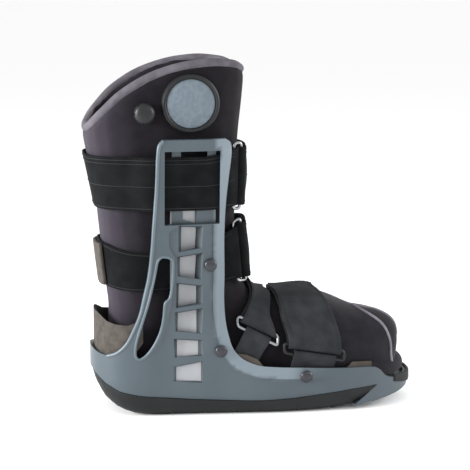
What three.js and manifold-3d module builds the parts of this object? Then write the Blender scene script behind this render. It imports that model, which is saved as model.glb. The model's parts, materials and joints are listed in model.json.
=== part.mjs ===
// A short medical walking boot: a moulded shell with two uprights on a rocker sole, a padded liner
// with an air pump, and four straps that each pass through a steel ring and fold back on themselves.
// Millimetres. +X points to the toe, +Z up, and -Y is the outer side, which carries the rings.
import * as THREE from "three";
import { mergeVertices } from "three/addons/utils/BufferGeometryUtils.js";
import Module from "manifold-3d";

const wasm = await Module();
wasm.setup();

// Driving sizes of the whole boot
const soleLength = 300;
const bootHeight = 323;
const heelWidth = 96;
const forefootWidth = 113;
const linerWidth = 106;
const uprightHeight = 253;

// Sole and shell
const soleThickness = 14;
const rockerRise = 34;
const soleLip = 1;
const shellWall = 3.2;
const floorThickness = 3;
const columnDepth = 8.4;
const panelThickness = 2.6;
const uprightBow = 0.6;
const railThickness = 2.9;
const pocketDraft = 1.6;

// Soft parts and hardware
const linerWall = 9;
const flapThickness = 2;
const flapStand = 0.8;
const strapThickness = 1.8;
const ankleEndThickness = 3.4;
const ringWire = 3;
const ringGap = 9;
const ringSpread = 3.4;
const stayThickness = 1.2;
const liningThickness = 2;
const liningStand = 5;
const heelBandThickness = 2.4;
const rivetHeadRadius = 5.6;
const rivetHeadHeight = 2.6;
const rivetShankRadius = 2;
const rivetShankLength = 3.4;
const rivetStandOff = 0.9;
const bulbRadius = 21.5;
const bulbHeight = 5;
const collarWidth = 4.5;
const collarHeight = 4;
const collarEdge = 1.5;
const pumpRoot = 8;
const knobRadius = 9.5;
const knobHeight = 9;
const knobLobes = 6;
const knobStemRadius = 4;
const bumperThickness = 1.9;
const instepTabLeg = 26;
const forefootTabLeg = 24;
const tabTail = 6;
const strapStand = 3;

// Clearances
const seatGap = 0.3;
const softGap = 0.5;
const foldGap = 0.9;
const ringStand = 6;
const liningUnderTab = 6;
const liningDepth = 10;
const cutterReach = 14;

const radians = THREE.MathUtils.degToRad;
const { lerp, clamp, smoothstep } = THREE.MathUtils;

// Closed meshes in and out of the boolean library

function solidOf(geometry) {
  const plain = geometry.index ? geometry.toNonIndexed() : geometry.clone();
  const bare = new THREE.BufferGeometry().setAttribute("position", plain.getAttribute("position"));
  const merged = mergeVertices(bare, 1e-4);
  return new wasm.Manifold(
    new wasm.Mesh({
      numProp: 3,
      vertProperties: new Float32Array(merged.attributes.position.array),
      triVerts: new Uint32Array(merged.index.array),
    }),
  );
}

function geometryOf(solid) {
  const mesh = solid.getMesh();
  const positions = new Float32Array(mesh.numVert * 3);
  for (let i = 0; i < mesh.numVert; i++) {
    positions.set(mesh.vertProperties.subarray(i * mesh.numProp, i * mesh.numProp + 3), i * 3);
  }
  const geometry = new THREE.BufferGeometry()
    .setAttribute("position", new THREE.BufferAttribute(positions, 3))
    .setIndex(new THREE.BufferAttribute(new Uint32Array(mesh.triVerts), 1));
  geometry.computeVertexNormals();
  return geometry;
}

function signedVolume(points, index) {
  let sum = 0;
  for (let i = 0; i < index.length; i += 3) {
    const [a, b, c] = [points[index[i]], points[index[i + 1]], points[index[i + 2]]];
    sum += a.dot(new THREE.Vector3().crossVectors(b, c));
  }
  return sum / 6;
}

// A closed geometry from points and triangles, turned so that its faces point out.
function closedGeometry(points, index) {
  const turnedRound = (v, i) => index[i - (i % 3) + [0, 2, 1][i % 3]];
  const facing = signedVolume(points, index) < 0 ? index.map(turnedRound) : index;
  const geometry = new THREE.BufferGeometry().setFromPoints(points);
  geometry.setIndex(facing);
  geometry.computeVertexNormals();
  return geometry;
}

// A tube through closed rings of equal counts, with a fan over each end.
function loftRings(rings) {
  const count = rings[0].length;
  const points = rings.flat();
  const index = [];
  for (let i = 0; i + 1 < rings.length; i++) {
    for (let j = 0; j < count; j++) {
      const [a, b] = [i * count + j, i * count + ((j + 1) % count)];
      index.push(a, b, b + count, a, b + count, a + count);
    }
  }
  [rings[0], rings[rings.length - 1]].forEach((ring, end) => {
    const centre = points.length;
    const first = end ? (rings.length - 1) * count : 0;
    points.push(ring.reduce((sum, p) => sum.add(p), new THREE.Vector3()).divideScalar(count));
    for (let j = 0; j < count; j++) {
      const [a, b] = [first + j, first + ((j + 1) % count)];
      index.push(...(end ? [a, b, centre] : [b, a, centre]));
    }
  });
  return closedGeometry(points, index);
}

// A plate between two grids of points, such as the outer and inner face of a strap.
function thickSheet(outer, inner, closed = false) {
  const [rows, columns] = [outer.length, outer[0].length];
  const points = [...outer.flat(), ...inner.flat()];
  const at = (side, i, k) => side * rows * columns + (i % rows) * columns + k;
  const index = [];
  const quad = (a, b, c, d) => index.push(a, b, c, a, c, d);
  for (let i = 0; i < (closed ? rows : rows - 1); i++) {
    for (let k = 0; k + 1 < columns; k++) {
      quad(at(0, i, k), at(0, i + 1, k), at(0, i + 1, k + 1), at(0, i, k + 1));
      quad(at(1, i, k), at(1, i, k + 1), at(1, i + 1, k + 1), at(1, i + 1, k));
    }
    quad(at(0, i, 0), at(1, i, 0), at(1, i + 1, 0), at(0, i + 1, 0));
    const k = columns - 1;
    quad(at(0, i, k), at(0, i + 1, k), at(1, i + 1, k), at(1, i, k));
  }
  if (!closed) {
    for (let k = 0; k + 1 < columns; k++) {
      quad(at(0, 0, k), at(0, 0, k + 1), at(1, 0, k + 1), at(1, 0, k));
      const i = rows - 1;
      quad(at(0, i, k), at(1, i, k), at(1, i, k + 1), at(0, i, k + 1));
    }
  }
  return closedGeometry(points, index);
}

// An outline in the XZ plane, extruded right across the boot or between two Y planes.
function acrossBoot(points, fromY = -linerWidth, toY = linerWidth) {
  const shape = new THREE.Shape(points);
  const geometry = new THREE.ExtrudeGeometry(shape, { depth: toY - fromY, bevelEnabled: false });
  geometry.rotateX(Math.PI / 2);
  geometry.translate(0, toY, 0);
  return solidOf(geometry);
}

const point2 = (x, z) => new THREE.Vector2(x, z);

function smoothLine(points, steps) {
  return new THREE.SplineCurve(points).getPoints(steps);
}

// Sole: its side view. Columns: x as a share of the length, the bottom's rise as a share of the
// rocker's rise, and the depth above it as a share of the sole's thickness.
const treadTable = [
  { x: 0, rise: 1, depth: 0.64 },
  { x: 0.013, rise: 0.72, depth: 0.82 },
  { x: 0.04, rise: 0.42, depth: 1.02 },
  { x: 0.08, rise: 0.18, depth: 1.21 },
  { x: 0.133, rise: 0.04, depth: 1.33 },
  { x: 0.19, rise: 0, depth: 1.27 },
  { x: 0.3, rise: 0, depth: 1.07 },
  { x: 0.5, rise: 0, depth: 0.87 },
  { x: 0.6, rise: 0, depth: 0.97 },
  { x: 0.7, rise: 0.035, depth: 1.13 },
  { x: 0.78, rise: 0.09, depth: 1.18 },
  { x: 0.87, rise: 0.16, depth: 1.14 },
  { x: 0.93, rise: 0.25, depth: 0.8 },
  { x: 0.97, rise: 0.32, depth: 0.5 },
  { x: 1, rise: 0.45, depth: 0.2 },
];
const rubberEnd = { topX: 0.87, bottomX: 0.79 };

function fromTable(table, column, x) {
  const last = table.length - 1;
  if (x <= table[0].x) return table[0][column];
  if (x >= table[last].x) return table[last][column];
  const i = table.findIndex((row, n) => n < last && x < table[n + 1].x);
  const share = (x - table[i].x) / (table[i + 1].x - table[i].x);
  return lerp(table[i][column], table[i + 1][column], share);
}

const bottomAt = (x) => rockerRise * fromTable(treadTable, "rise", x / soleLength);
const rubberTopAt = (x) => bottomAt(x) + soleThickness * fromTable(treadTable, "depth", x / soleLength);
const floorAt = (x) => rubberTopAt(x) + seatGap + floorThickness;

// Shell in plan: a rounded heel, sides that widen to the ball, and a rounded toe.
const heelRun = 0.16;
const ballPlace = 0.64;
const heelRoundness = 2.3;
const toeRoundness = 2.4;

function sideHalf(x) {
  const widening = smoothstep(x, heelRun * soleLength, ballPlace * soleLength);
  return lerp(heelWidth, forefootWidth, widening) / 2;
}

// Half the plan's width at x, moved inwards by inset.
function planHalfAt(x, inset = 0) {
  const [heelEnd, ballX] = [heelRun * soleLength, ballPlace * soleLength];
  const rounded = (reach, run, half, power) => half * (1 - clamp(reach / run, 0, 1) ** power) ** (1 / power);
  if (x < heelEnd) return rounded(heelEnd - x, heelEnd - inset, heelWidth / 2 - inset, heelRoundness);
  if (x < ballX) return sideHalf(x) - inset;
  return rounded(x - ballX, soleLength - inset - ballX, forefootWidth / 2 - inset, toeRoundness);
}

// Half of the plan outline, from the heel's back to the toe's tip, moved inwards by inset.
const sidePlaces = [0.16, 0.2, 0.27, 0.33, 0.37, 0.395, 0.42, 0.445, 0.5, 0.57, 0.64];

function halfPlan(inset, heelSteps = 7, toeSteps = 8) {
  const [heelEnd, ballX] = [heelRun * soleLength, ballPlace * soleLength];
  const quarter = (steps, place) =>
    Array.from({ length: steps }, (_, i) => place((i / steps) * (Math.PI / 2)));
  const heel = quarter(heelSteps, (a) => {
    const reach = (heelEnd - inset) * Math.cos(a) ** (2 / heelRoundness);
    return point2(heelEnd - reach, (heelWidth / 2 - inset) * Math.sin(a) ** (2 / heelRoundness));
  });
  const sides = sidePlaces.map((share) => point2(share * soleLength, sideHalf(share * soleLength) - inset));
  const toe = quarter(toeSteps, (a) => {
    const reach = (soleLength - inset - ballX) * Math.cos(a) ** (2 / toeRoundness);
    return point2(ballX + reach, (forefootWidth / 2 - inset) * Math.sin(a) ** (2 / toeRoundness));
  });
  return [...heel, ...sides, ...toe.reverse()];
}

// Heights by level: 0 is the floor, 1 the uprights' top and 2 the liner's top.
const heightAt = (level) =>
  level <= 1 ? level * uprightHeight : lerp(uprightHeight, bootHeight, level - 1);

// Liner sections. Each is a rounded ring in a plane through Y: from a front or top point to a back
// or bottom point. Columns: x as shares of the length, z as levels, half the width as a share of the
// liner's half width in the leg, or of the room in the shell in the heel and foot.
const legSections = [
  { frontX: 0.477, frontZ: 2.185, backX: -0.03, backZ: 2.185, half: 1 },
  { frontX: 0.473, frontZ: 1.672, backX: -0.027, backZ: 1.672, half: 1 },
  { frontX: 0.455, frontZ: 0.988, backX: -0.012, backZ: 0.988, half: 0.982 },
  { frontX: 0.45, frontZ: 0.85, backX: 0.01, backZ: 0.85, half: 0.93 },
  { frontX: 0.448, frontZ: 0.739, backX: 0.027, backZ: 0.739, half: 0.886 },
  { frontX: 0.446, frontZ: 0.592, backX: 0.037, backZ: 0.592, half: 0.84 },
  { frontX: 0.46, frontZ: 0.49, backX: 0.05, backZ: 0.454, half: 0.79 },
];
const heelSections = [
  { frontX: 0.477, frontZ: 0.447, backX: 0.06, backZ: 0.347, half: 1.05 },
  { frontX: 0.5, frontZ: 0.423, backX: 0.05, backZ: 0.243, half: 1 },
  { frontX: 0.527, frontZ: 0.415, backX: 0.034, backZ: 0.16, half: 1 },
];
const footSections = [
  { frontX: 0.55, frontZ: 0.411, backX: 0.075, half: 1 },
  { frontX: 0.58, frontZ: 0.407, backX: 0.2, half: 1 },
  { frontX: 0.62, frontZ: 0.405, backX: 0.367, half: 1 },
  { frontX: 0.677, frontZ: 0.4, backX: 0.533, half: 1 },
  { frontX: 0.74, frontZ: 0.375, backX: 0.683, half: 1 },
  { frontX: 0.817, frontZ: 0.347, backX: 0.793, half: 0.93 },
  { frontX: 0.893, frontZ: 0.333, backX: 0.878, half: 0.8 },
  { frontX: 0.944, frontZ: 0.296, backX: 0.925, half: 0.6 },
  { frontX: 0.96, frontZ: 0.217, backX: 0.945, half: 0.36 },
];
const sectionRoundness = 3;
const flapRoom = flapStand + flapThickness + seatGap;
const wallRoom = shellWall + seatGap + liningThickness + seatGap + strapThickness + flapRoom;

const sections = [
  ...legSections.map((row) => ({ ...row, width: (row.half * linerWidth) / 2 })),
  ...heelSections.map((row) => ({ ...row, width: row.half * (heelWidth / 2 - wallRoom) })),
  ...footSections.map((row) => {
    const x = row.backX * soleLength;
    return { ...row, lowest: floorAt(x) + seatGap, width: row.half * (sideHalf(x) - wallRoom) };
  }),
];
const lastSection = sections.length - 1;
const frontLine = new THREE.CatmullRomCurve3(
  sections.map((row) => new THREE.Vector3(row.frontX * soleLength, 0, heightAt(row.frontZ))),
);
const backLine = new THREE.CatmullRomCurve3(
  sections.map((row) => new THREE.Vector3(row.backX * soleLength, 0, row.lowest ?? heightAt(row.backZ))),
);
const widthLine = new THREE.CatmullRomCurve3(sections.map((row, i) => new THREE.Vector3(i, row.width, 0)));

// The plane of the section at u, which counts rows of the tables from the top.
function sectionAt(u) {
  const share = clamp(u / lastSection, 0, 1);
  const [front, back] = [frontLine.getPoint(share), backLine.getPoint(share)];
  const reach = front.distanceTo(back) / 2;
  const along = front.clone().sub(back).divideScalar(2 * reach);
  return { centre: front.add(back).divideScalar(2), along, reach, half: widthLine.getPoint(share).y };
}

const roundPower = (value) => Math.sign(value) * Math.abs(value) ** (2 / sectionRoundness);

// A point on the liner, moved out by offset. Angle 0 is the front or top, and 90 the outer side.
function onLiner(u, angle, offset = 0) {
  const { centre, along, reach, half } = sectionAt(u);
  const turn = radians(angle);
  const point = centre.clone().addScaledVector(along, (reach + offset) * roundPower(Math.cos(turn)));
  point.y = -(half + offset) * roundPower(Math.sin(turn));
  return point;
}

// The section whose middle is at height z, in the leg.
function legSectionFor(z) {
  let [low, high] = [0, legSections.length - 1];
  for (let i = 0; i < 30; i++) {
    const middle = (low + high) / 2;
    if (sectionAt(middle).centre.z > z) low = middle;
    else high = middle;
  }
  return (low + high) / 2;
}

const ankleHeight = sectionAt(legSections.length - 1).centre.z;

// Uprights: how far out their outer face lies at x and z.
const formLevels = [-0.06, 0.14, 0.217, 0.294, 0.37, 0.44, 0.587, 0.792, 1.08];
const toeTipClearance = 1.2;
const underColumn = softGap + strapThickness + softGap + stayThickness + seatGap;
const flare = {
  from: 0.153 * uprightHeight,
  to: 0.434 * uprightHeight,
  rear: 0.05 * soleLength,
  full: 0.17 * soleLength,
};

function uprightFace(x, z) {
  const { centre, reach, half } = sectionAt(legSectionFor(Math.max(z, ankleHeight)));
  const place = clamp((x - centre.x) / reach, -0.96, 0.96);
  const drop = half * (1 - (1 - Math.abs(place) ** sectionRoundness) ** (1 / sectionRoundness));
  return half - uprightBow * drop + underColumn + columnDepth;
}

// The outer side at x and z, which flares from the plan's half width to the upright's face.
function flaredAt(x, z, planHalf, inset = 0, near = 1) {
  const face = Math.max(uprightFace(x, z) - inset, planHalf);
  return lerp(planHalf, face, near * smoothstep(z, flare.from, flare.to));
}

// The full-height form that the shell's walls are cut from: the foot's plan, flared to the uprights.
// The insets move its surface inwards, the first in the foot and the second in the uprights.
function shellForm(footInset, columnInset = footInset) {
  const plan = halfPlan(footInset);
  const rings = formLevels.map((level) => {
    const z = heightAt(level);
    const half = plan.map((p) => {
      const fromHeel = smoothstep(p.x, flare.rear, flare.full);
      const near = fromHeel * smoothstep(-p.x, -ballPlace * soleLength, -3 * flare.full);
      return new THREE.Vector3(p.x, -flaredAt(p.x, z, p.y, columnInset, near), z);
    });
    const other = half.slice(1).reverse().map((p) => new THREE.Vector3(p.x, -p.y, p.z));
    return [...half, new THREE.Vector3(soleLength - footInset, 0, z), ...other];
  });
  return solidOf(loftRings(rings));
}

// Shell: its side view above the floor. Columns: x as a share of the length, z of the uprights' height.
const shellTopTable = [
  { x: -0.01, z: 0.245 },
  { x: 0.017, z: 0.226 },
  { x: 0.043, z: 0.222 },
  { x: 0.07, z: 0.236 },
  { x: 0.097, z: 0.269 },
  { x: 0.12, z: 0.324 },
  { x: 0.138, z: 0.379 },
  { x: 0.15, z: 0.44 },
  { x: 0.163, z: 0.51 },
  { x: 0.172, z: 0.6 },
  { x: 0.178, z: 0.7 },
  { x: 0.186, z: 0.84 },
  { x: 0.19, z: 0.955 },
  { x: 0.195, z: 0.985 },
  { x: 0.207, z: 1 },
  { x: 0.395, z: 1 },
  { x: 0.409, z: 0.988 },
  { x: 0.414, z: 0.962 },
  { x: 0.405, z: 0.86 },
  { x: 0.397, z: 0.77 },
  { x: 0.393, z: 0.66 },
  { x: 0.394, z: 0.52 },
  { x: 0.393, z: 0.42 },
  { x: 0.397, z: 0.35 },
  { x: 0.407, z: 0.29 },
  { x: 0.422, z: 0.24 },
  { x: 0.45, z: 0.204 },
  { x: 0.5, z: 0.178 },
  { x: 0.56, z: 0.17 },
  { x: 0.65, z: 0.165 },
  { x: 0.75, z: 0.159 },
  { x: 0.863, z: 0.151 },
  { x: 0.885, z: 0.136 },
  { x: 0.902, z: 0.114 },
  { x: 0.925, z: 0.103 },
  { x: 1.03, z: 0.103 },
];
const shellTop = shellTopTable.map((row) => point2(row.x * soleLength, row.z * uprightHeight));
const wallTopAt = (x) => uprightHeight * fromTable(shellTopTable.slice(26), "z", x / soleLength);

const rubberPlaces = Array.from({ length: 21 }, (_, i) => lerp(-0.01, rubberEnd.topX, i / 20) * soleLength);

// The underside of the shell: along the sole's upper face, then down to the toe tip's own underside.
function undersideLine(clearance) {
  const along = rubberPlaces.map((x) => point2(x, rubberTopAt(x) + clearance));
  const tip = [rubberEnd.bottomX, 0.83, 0.87, 0.91, 0.95, 0.975, 1.03].map((share) => {
    const x = share * soleLength;
    return point2(x, bottomAt(x) + toeTipClearance);
  });
  along[along.length - 1].x += 2 * clearance;
  tip[0].x += 2 * clearance + 1.4 * toeTipClearance;
  return [...along, ...tip];
}

const outer = shellForm(0);
const hollow = shellForm(shellWall, columnDepth);
const shellBand = acrossBoot([...undersideLine(seatGap), ...shellTop.slice().reverse()]);
const floorPlaces = Array.from({ length: 25 }, (_, i) => lerp(-0.02, 1.03, i / 24) * soleLength);
const aboveFloor = acrossBoot([
  ...floorPlaces.map((x) => point2(x, floorAt(x))),
  point2(1.03 * soleLength, bootHeight),
  point2(-0.02 * soleLength, bootHeight),
]);

// Frame at the top of each upright. Columns: x as shares of the length, z of the uprights' height.
const frameWindow = { rearX: 0.212, frontX: 0.378, lowZ: 0.7, topZ: 0.96, corner: 0.02 };
const panel = { rearX: 0.236, frontX: 0.367, tabHeight: 0.028, tabWidth: 0.026 };

function boxAcross(fromX, toX, fromZ, toZ) {
  return acrossBoot([point2(fromX, fromZ), point2(toX, fromZ), point2(toX, toZ), point2(fromX, toZ)]);
}

function roundedOutline(fromX, toX, fromZ, toZ, radius, steps = 3) {
  const corners = [
    [toX - radius, fromZ + radius, -90],
    [toX - radius, toZ - radius, 0],
    [fromX + radius, toZ - radius, 90],
    [fromX + radius, fromZ + radius, 180],
  ];
  return corners.flatMap(([x, z, from]) =>
    Array.from({ length: steps + 1 }, (_, i) => {
      const turn = radians(from + (90 * i) / steps);
      return point2(x + radius * Math.cos(turn), z + radius * Math.sin(turn));
    }),
  );
}

function frameCuts() {
  const [lowZ, topZ] = [frameWindow.lowZ * uprightHeight, frameWindow.topZ * uprightHeight];
  const [rearX, frontX] = [frameWindow.rearX * soleLength, frameWindow.frontX * soleLength];
  const [panelRear, panelFront] = [panel.rearX * soleLength, panel.frontX * soleLength];
  const panelFace = shellForm(shellWall, columnDepth - panelThickness);
  const railFace = shellForm(shellWall, railThickness);
  const opening = acrossBoot(roundedOutline(rearX, frontX, lowZ, topZ, frameWindow.corner * soleLength));
  const behindRails = railFace.intersect(
    boxAcross(0, panelRear, lowZ, topZ).add(boxAcross(panelFront, soleLength, lowZ, topZ)),
  );
  const tabWidth = panel.tabWidth * soleLength;
  const betweenTabs = boxAcross(
    panelRear + tabWidth,
    panelFront - tabWidth,
    topZ - panel.tabHeight * uprightHeight,
    topZ,
  );
  return opening.subtract(panelFace).add(behindRails).add(betweenTabs.intersect(railFace));
}

// Windows of the lattice, from the top down: the heights of the rear and front sides' ends, as shares
// of the uprights' height. The first one runs on up behind the strap.
const windowTable = [
  { rearTop: 0.93, rearLow: 0.719, frontLow: 0.707, frontTop: 0.93 },
  { rearTop: 0.692, rearLow: 0.605, frontLow: 0.617, frontTop: 0.688 },
  { rearTop: 0.581, rearLow: 0.518, frontLow: 0.502, frontTop: 0.593 },
  { rearTop: 0.486, rearLow: 0.403, frontLow: 0.415, frontTop: 0.474 },
  { rearTop: 0.379, rearLow: 0.316, frontLow: 0.304, frontTop: 0.391 },
  { rearTop: 0.281, rearLow: 0.217, frontLow: 0.225, frontTop: 0.273 },
  { rearTop: 0.178, rearLow: 0.13, frontLow: 0.126, frontTop: 0.194 },
];
const windowRear = [
  { z: 0.12, x: 0.242 },
  { z: 0.3, x: 0.246 },
  { z: 0.6, x: 0.256 },
  { z: 0.75, x: 0.262 },
];
const windowFrontShare = 0.322;

// A pocket right through one upright, drafted so that it narrows inwards.
function latticeWindow(row, side) {
  const rearAt = (share) => {
    const last = windowRear.length - 1;
    const i = clamp(windowRear.findIndex((place) => share < place.z), 1, last);
    const [low, high] = [windowRear[i - 1], windowRear[i]];
    return soleLength * lerp(low.x, high.x, clamp((share - low.z) / (high.z - low.z), 0, 1));
  };
  const frontX = windowFrontShare * soleLength;
  const corners = [
    point2(rearAt(row.rearLow), row.rearLow * uprightHeight),
    point2(frontX, row.frontLow * uprightHeight),
    point2(frontX, row.frontTop * uprightHeight),
    point2(rearAt(row.rearTop), row.rearTop * uprightHeight),
  ];
  const middle = corners.reduce((sum, p) => sum.add(p), point2(0, 0)).divideScalar(4);
  const wall = flaredAt(middle.x, middle.y, sideHalf(middle.x));
  const ring = (y, grow) =>
    corners.map((p) => {
      const out = point2(Math.sign(p.x - middle.x), Math.sign(p.y - middle.y)).multiplyScalar(grow);
      return new THREE.Vector3(p.x + out.x, side * y, p.y + out.y);
    });
  const mouth = [ring(wall + cutterReach, pocketDraft), ring(wall, pocketDraft)];
  return solidOf(loftRings([...mouth, ring(wall - cutterReach, -pocketDraft)]));
}

// The long slot behind the lattice. Columns: x as a share of the length, z of the uprights' height.
const slotTable = [
  { x: 0.194, z: 0.589 },
  { x: 0.237, z: 0.581 },
  { x: 0.237, z: 0.53 },
  { x: 0.23, z: 0.435 },
  { x: 0.212, z: 0.424 },
  { x: 0.21, z: 0.387 },
  { x: 0.206, z: 0.344 },
  { x: 0.197, z: 0.304 },
  { x: 0.18, z: 0.261 },
  { x: 0.158, z: 0.226 },
  { x: 0.137, z: 0.21 },
  { x: 0.126, z: 0.222 },
  { x: 0.126, z: 0.253 },
  { x: 0.131, z: 0.285 },
  { x: 0.15, z: 0.36 },
  { x: 0.167, z: 0.427 },
  { x: 0.183, z: 0.51 },
];
const slot = acrossBoot(slotTable.map((row) => point2(row.x * soleLength, row.z * uprightHeight)));

// Rivets. Columns: x as a share of the length, z of the uprights' height.
const rivetTable = [
  { name: "ankle", x: 0.35, z: 0.553 },
  { name: "instep", x: 0.383, z: 0.237 },
  { name: "forefoot", x: 0.643, z: 0.136 },
];

function rivetAxis(row, side) {
  const [x, z] = [row.x * soleLength, row.z * uprightHeight];
  return new THREE.Vector3(x, side * flaredAt(x, z, sideHalf(x)), z);
}

function rod(centre, radius, fromY, toY, segments = 10) {
  const geometry = new THREE.CylinderGeometry(radius, radius, Math.abs(toY - fromY), segments);
  return solidOf(geometry.translate(centre.x, (fromY + toY) / 2, centre.z));
}

function rivetHole(row, side, grow = seatGap) {
  const axis = rivetAxis(row, side);
  return rod(axis, rivetShankRadius + grow, axis.y - side * cutterReach, axis.y + side * cutterReach);
}
const rivetHoles = [-1, 1].flatMap((side) => rivetTable.map((row) => rivetHole(row, side)));

const without = (solid, cutters) => cutters.reduce((rest, cutter) => rest.subtract(cutter), solid);

function buildShell() {
  const walls = outer.subtract(hollow.intersect(aboveFloor)).intersect(shellBand);
  const windows = [-1, 1].flatMap((side) => windowTable.map((row) => latticeWindow(row, side)));
  return without(walls, [frameCuts(), slot, ...windows, ...rivetHoles]);
}

function buildRivet(row, side) {
  const axis = rivetAxis(row, side);
  const profile = [
    [0, -rivetShankLength],
    [rivetShankRadius, -rivetShankLength],
    [rivetShankRadius, 0],
    [rivetHeadRadius, 0],
    [0.93 * rivetHeadRadius, 0.45 * rivetHeadHeight],
    [0.7 * rivetHeadRadius, 0.8 * rivetHeadHeight],
    [0, rivetHeadHeight],
  ].map(([radius, out]) => point2(radius, out));
  const geometry = new THREE.LatheGeometry(profile, 10);
  if (side < 0) geometry.rotateZ(Math.PI);
  return solidOf(geometry.translate(axis.x, axis.y + side * rivetStandOff, axis.z));
}

// Sole and toe

const treadDepth = 1.6;
const treadWidth = 3;
const treadPlaces = Array.from({ length: 6 }, (_, i) => lerp(0.24, 0.72, i / 5) * soleLength);

// Rings whose heights vary, closed below and above by strips between their two sides.
function drapedLoft(rings) {
  const count = rings[0].length;
  const points = rings.flat();
  const index = [];
  for (let i = 0; i + 1 < rings.length; i++) {
    for (let j = 0; j < count; j++) {
      const [a, b] = [i * count + j, i * count + ((j + 1) % count)];
      index.push(a, b, b + count, a, b + count, a + count);
    }
  }
  [0, (rings.length - 1) * count].forEach((first, end) => {
    const face = (a, b, c) => {
      const corners = [first + a, first + b, first + c];
      index.push(...(end ? corners : corners.reverse()));
    };
    const middle = count / 2;
    for (let j = 0; j < middle; j++) {
      const [a, b] = [j, j + 1];
      const [c, d] = [(count - j - 1) % count, (count - j) % count];
      if (a !== d) face(a, b, d);
      if (b !== c) face(b, c, d);
    }
  });
  return solidOf(closedGeometry(points, index));
}

// The rubber's body follows the rocker: its levels hang over the sole's underside. Columns: height
// and inset as shares of the sole's thickness, and how much of the lip stands out.
const rubberLevels = [
  { height: 0, inset: 0.64, lip: 0 },
  { height: 0.25, inset: 0.29, lip: 0 },
  { height: 0.6, inset: 0.06, lip: 0 },
  { height: 1, inset: 0, lip: 1 },
  { height: 2.2, inset: 0, lip: 1 },
];

function buildOutsole() {
  const rings = rubberLevels.map((level) => {
    const height = level.height;
    const inset = level.inset * soleThickness - level.lip * soleLip;
    const levelAt = (x) => bottomAt(x) + height * soleThickness;
    const half = halfPlan(inset).map((p) => new THREE.Vector3(p.x, -p.y, levelAt(p.x)));
    const tip = new THREE.Vector3(soleLength - inset, 0, levelAt(soleLength));
    const other = half.slice(1).reverse().map((p) => new THREE.Vector3(p.x, -p.y, p.z));
    return [...half, tip, ...other];
  });
  const side = acrossBoot([
    ...rubberPlaces.map((x) => point2(x, rubberTopAt(x))),
    point2(rubberEnd.bottomX * soleLength, bottomAt(rubberEnd.bottomX * soleLength)),
    point2(rubberEnd.bottomX * soleLength, -soleThickness),
    point2(-0.01 * soleLength, -soleThickness),
  ]);
  const ribs = treadPlaces.map((x) => {
    const [low, high] = [bottomAt(x) - soleThickness, bottomAt(x) + treadDepth];
    return boxAcross(x - treadWidth / 2, x + treadWidth / 2, low, high);
  });
  return without(drapedLoft(rings).intersect(side), ribs);
}

function buildToeBumper() {
  const [low, high] = [0.064 * uprightHeight, 0.096 * uprightHeight];
  const band = boxAcross(0.955 * soleLength, 1.03 * soleLength, low, high);
  return shellForm(-seatGap - bumperThickness).subtract(shellForm(-seatGap)).intersect(band);
}

// Liner

const ringPoints = 20;

function linerForm(offset, fromU = 0, toU = lastSection, steps = 19) {
  const rings = Array.from({ length: steps + 1 }, (_, i) => {
    const u = lerp(fromU, toU, i / steps);
    return Array.from({ length: ringPoints }, (_, j) => onLiner(u, (360 * j) / ringPoints, offset));
  });
  return solidOf(loftRings(rings));
}

// Top edge of the liner in side view. Columns: x as a share of the length, z as a level.
const linerTopTable = [
  { x: -0.05, z: 0.919 },
  { x: -0.02, z: 1.031 },
  { x: 0.02, z: 1.285 },
  { x: 0.085, z: 1.585 },
  { x: 0.17, z: 1.825 },
  { x: 0.26, z: 1.954 },
  { x: 0.36, z: 2 },
  { x: 0.43, z: 1.968 },
  { x: 0.468, z: 1.871 },
  { x: 0.49, z: 1.7 },
  { x: 0.52, z: 1.539 },
];
const linerTop = smoothLine(
  linerTopTable.map((row) => point2(row.x * soleLength, heightAt(row.z))),
  22,
);
const aboveLiner = acrossBoot([
  ...linerTop,
  point2(0.52 * soleLength, 1.2 * bootHeight),
  point2(-0.05 * soleLength, 1.2 * bootHeight),
]);
const aboveInsole = acrossBoot([
  ...floorPlaces.map((x) => point2(x, floorAt(x) + seatGap)),
  point2(1.03 * soleLength, 1.2 * bootHeight),
  point2(-0.02 * soleLength, 1.2 * bootHeight),
]);
const linerBody = linerForm(0).subtract(aboveLiner).intersect(aboveInsole);

function buildLiner() {
  return linerBody.subtract(linerForm(-linerWall, 0, lastSection - 1.1, 12));
}

// The overlapping flap over the toes. Columns: place along the sections, angle of its front edge.
const flapTable = [
  { u: 13.2, front: -24, low: 104 },
  { u: 13.8, front: -15, low: 108 },
  { u: 14.4, front: -2, low: 110 },
  { u: 15, front: 7, low: 112 },
  { u: 15.6, front: 13, low: 112 },
  { u: 16.1, front: 18, low: 112 },
  { u: 16.6, front: 24, low: 112 },
  { u: 17.1, front: 31, low: 112 },
  { u: 17.6, front: 40, low: 112 },
];

function buildToeFlap() {
  const grid = (offset) =>
    flapTable.map((row) =>
      Array.from({ length: 9 }, (_, k) => onLiner(row.u, lerp(row.front, row.low, k / 8), offset)),
    );
  return solidOf(thickSheet(grid(flapStand + flapThickness), grid(flapStand)));
}

// Straps. Each lies on the liner between an upper and a lower edge. Its rows give the edges' places at
// s, which is 0 at the ring, 1 over the front and goes on round the far side.

const channelY = (x, z) =>
  uprightFace(x, z) - columnDepth + panelThickness + (columnDepth - panelThickness - railThickness) / 2;
const channelEnds = { rear: 0.1, rearFull: 0.175, frontFull: 0.41, front: 0.45 };

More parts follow.
